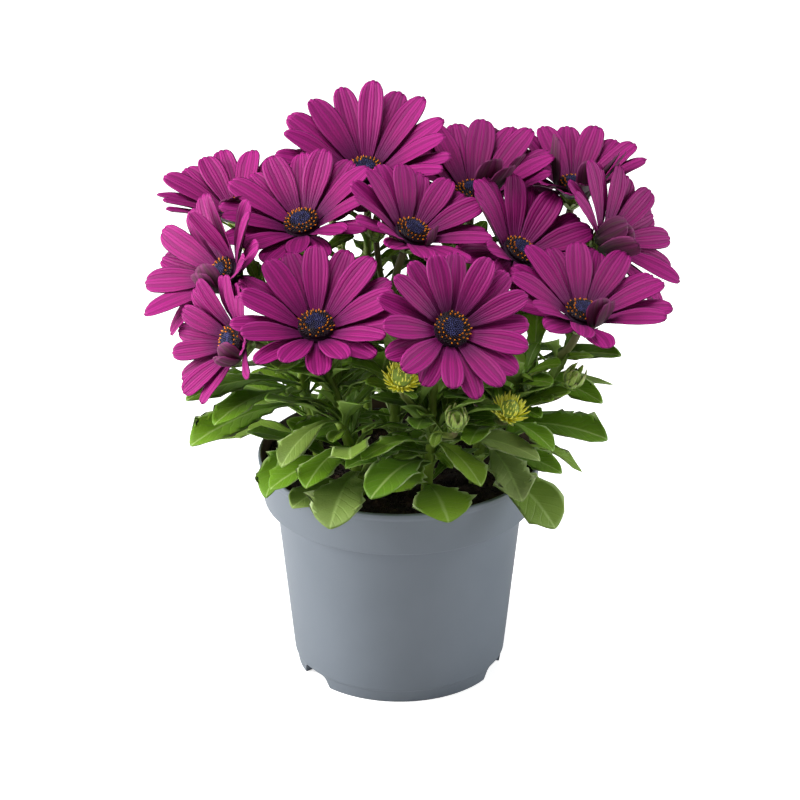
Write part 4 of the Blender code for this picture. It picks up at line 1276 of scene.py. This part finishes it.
def leaf_relief(rng, least, most):
    """Channelled blade with a sunk midrib, puckered between its side veins."""
    wave = rng.uniform(least, most)
    phase = rng.uniform(0.0, FULL_TURN)
    waves = rng.uniform(1.2, 2.4)

    def rise(s, u, half):
        fade = min(1.0, max(0.0, (s - 0.1) * 4.0))
        channel = LEAF_CHANNEL * half * abs(u) ** 1.3
        ripple = wave * u * u * math.sin(waves * 6.283 * s + phase + (1.4 if u > 0 else 0.0)) * fade
        pucker = 0.28 * math.sin((s * 9.0 - abs(u) * 1.8) * 6.283) * (1.0 - abs(u)) * abs(u) * fade
        groove = -0.30 * math.exp(-((u / 0.10) ** 2)) * (1.0 - s)
        return channel + ripple + pucker + groove

    return rise


def leaf_reach(u):
    return 1.0 - 0.17 * (1.0 - math.sqrt(max(0.0, 1.0 - u * u))) - 0.02 * abs(u)


# Leaf green, some leaves older and greyer, with pale midrib, side veins and margin.
fleshy = {"Sheen Weight": 0.03, "Subsurface Weight": 0.08, "Subsurface Radius": (0.0004, 0.0010, 0.0002)}
leaf_face = Finish("leaf_face", 0.48, 0.30, fleshy)
blade = blade_lines(leaf_face, 1.0, 0.02)
cloud, grain = mottle(leaf_face, 90.0, 1400.0)
leaf_greens = (
    (0.0, (0.090, 0.210, 0.004)), (0.40, (0.155, 0.330, 0.005)),
    (0.72, (0.205, 0.350, 0.022)), (1.0, (0.290, 0.370, 0.130)),
)
slant = (blade["Across"] * -0.20 + blade["Along"]) * 69.0
side_vein = (slant.math("COSINE") * 0.5 + 0.5) ** 14.0
midrib = {"Value": blade["Across"], "From Min": 0.09, "From Max": 0.02}
colour = veiled(
    leaf_face,
    ramp(leaf_face, tone_of(leaf_face), leaf_greens),
    (cloud, 0.62, (0.080, 0.150, 0.008)),
    (side_vein, 0.10, (0.240, 0.350, 0.080)),
    (leaf_face.put("ShaderNodeMapRange", midrib)[0], 0.60, (0.380, 0.520, 0.160)),
    (blade["Edge"] ** 2.0, 0.80, (0.540, 0.660, 0.320)),
)
coat(leaf_face, colour, side_vein * -0.35 + grain * 0.5, 0.5, 0.0005)

leaf_back = Finish("leaf_back", 0.6, 0.3)
blade = blade_lines(leaf_back, 1.0, 0.02)
cloud, grain = mottle(leaf_back, 90.0, 1400.0)
midrib = {"Value": blade["Across"], "From Min": 0.12, "From Max": 0.03}
midrib = leaf_back.put("ShaderNodeMapRange", midrib)[0]
colour = ramp(leaf_back, cloud, ((0.3, (0.150, 0.250, 0.036)), (0.7, (0.210, 0.320, 0.066))))
coat(leaf_back, veiled(leaf_back, colour, (midrib, 0.7, (0.22, 0.33, 0.12))), grain, 0.3, 0.0004)

stem_skin = Finish("stem_skin", 0.5, 0.35, {"Sheen Weight": 0.06})
cloud, grain = mottle(stem_skin, 120.0, 1600.0)
at = stem_skin.put("ShaderNodeSeparateXYZ", {0: stem_skin.put("ShaderNodeUVMap", uv_map="blade")[0]})
stem_greens = (
    (0.0, (0.210, 0.330, 0.030)), (0.45, (0.240, 0.370, 0.036)),
    (0.75, (0.210, 0.280, 0.045)), (1.0, (0.150, 0.090, 0.065)),
)
colour = ramp(stem_skin, at["Y"], stem_greens)
coat(stem_skin, veiled(stem_skin, colour, (cloud, 0.4, (0.120, 0.170, 0.030))), grain, 0.35, 0.0004)


def solid_tree(node):
    mesh = frame["nodes"][node].data
    faces = [tuple(face.vertices) for face in mesh.polygons]
    return BVHTree.FromPolygons([v.co.copy() for v in mesh.vertices], faces)


obstacles = [solid_tree(name) for name in frame["nodes"] if not name.startswith("shoot")]


def clear_between(first, last):
    """Whether a straight line between two points stays clear of blooms, buds and pot."""
    way = last - first
    for tree in obstacles:
        if tree.ray_cast(first * MM, way.normalized(), way.length * MM)[0] is not None:
            return False
        if tree.find_nearest(first * MM, CLEARANCE * MM)[0] is not None:
            return False
    return True


def young_leaves(curves, rng):
    """Small leaves up a shoot's stems wherever there is room for them."""
    trunk_plan = (YOUNG_PER_TRUNK, 0.30, 0.68, 0.0, YOUNG_DRAWS)
    stalk_plan = (YOUNG_PER_STALK, 0.10, 0.72, 0.35, YOUNG_DRAWS)
    for spec in spiral_leaves(curves, rng, trunk_plan, stalk_plan):
        points = []
        for s in (0.25, 0.45, 0.6, 0.75, 0.9, 1.0):
            point, forward, normal = blade_spine(*spec[:4], spec[5], spec[6], s)
            side = forward.cross(normal) * spec[4] * 0.45
            points.extend((point - side, point, point + side))
        lines = [*zip(points, points[3:]), *zip(points[::3], points[2::3])]
        reach = max(Vector((p.x, p.y)).length for p in points)
        if reach <= YOUNG_OUTER_RADIUS and all(clear_between(a, b) for a, b in lines):
            yield spec


carried = {}
for bloom in BLOOMS:
    carried[bloom[0]] = (*bloom_axes(bloom), CUP_RADIUS, CUP_DEPTH)
for name, centre, azimuth, elevation, radius, length, _ in BUDS:
    axis = direction(azimuth, elevation)
    carried[name] = (Vector(centre) - axis * length * 0.5, axis, radius * 0.62, 3.4)

for shoot in SHOOTS:
    name = shoot[0]
    finder = corner_finder(name)
    rng = random.Random(SEED * 7 + int(name[-1]))
    skin = Skin()
    trunk = shoot_trunk(shoot)
    add_tube(skin, tube_rings(trunk, TRUNK_RADIUS, TRUNK_RADIUS * 0.86, 14, 16), 2, 0.5, 0.0, 0.4)
    curves = [trunk]
    for load in shoot[3]:
        base, axis, reach, depth = carried[load]
        is_bloom = load.startswith("bloom")
        radius = STALK_RADIUS * (1.0 if is_bloom else 0.8)
        for offset in STALK_BENDS:
            curve = stalk_curve(shoot, base - axis * (depth - 0.8), axis, *offset)
            rings = tube_rings(curve, radius * 1.1, radius * 0.95, 5, 4)
            if min(finder.find(corner)[2] for corner in rings[2] + rings[3]) < MATCH:
                break
        curves.append(curve)
        stalk = tube_rings(curve, radius * 1.1, radius * 0.95, 12, 26)
        add_tube(skin, stalk, 2, rng.uniform(0.0, 1.0), 0.3, 1.0)
        cup = base - axis * (depth + CUP_GAP)
        rings = []
        for share, girth in CUP_GIRTHS:
            spot = cup + axis * depth * share
            rings.append(ring_at(spot, *frame_about(axis), reach * girth, CUP_SIDES))
        add_tube(skin, rings, 3, 0.5, 0.2, 0.6)
        bracts = 14 if is_bloom else 8
        add_ring(skin, rng, cup, axis, bracts, reach * 0.34, depth * 1.25, reach * 0.42, *BRACT_STANCE)
    specs = []
    for t, tip, width, arch, roll in LEAVES[name]:
        specs.append(leaf_spec(bezier(trunk, t)[0], Vector(tip), width, arch, roll))
    rule_rng = random.Random(SEED * 1000 + int(name[-1]))
    trunk_plan = (shoot[4], 0.28, 0.70, 0.0, TRUNK_DRAWS)
    stalk_plan = (STALK_LEAVES, 0.14, 0.52, 0.0, STALK_DRAWS)
    for spec in [*specs, *spiral_leaves(curves, rule_rng, trunk_plan, stalk_plan)]:
        tone = rng.uniform(0.0, 1.0)
        outline = leaf_edge(rng)
        relief = leaf_relief(rng, 0.5, 1.3)
        leaf = bent_to_match(spec, finder, LEAF_BENDS)
        if leaf:
            add_blade(skin, leaf, outline, relief, leaf_reach, *LEAF_GRID, tone, (0, 1))
    for spec in list(young_leaves(curves, rng)):
        outline = leaf_edge(rng)
        relief = leaf_relief(rng, 0.3, 0.8)
        add_blade(skin, spec, outline, relief, leaf_reach, *YOUNG_GRID, rng.uniform(0.0, 0.8), (0, 1))
    piece = skin.piece(name + "_greenery", leaf_face, leaf_back, stem_skin, bract_green)
    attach(piece, "root")
    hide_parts(name)
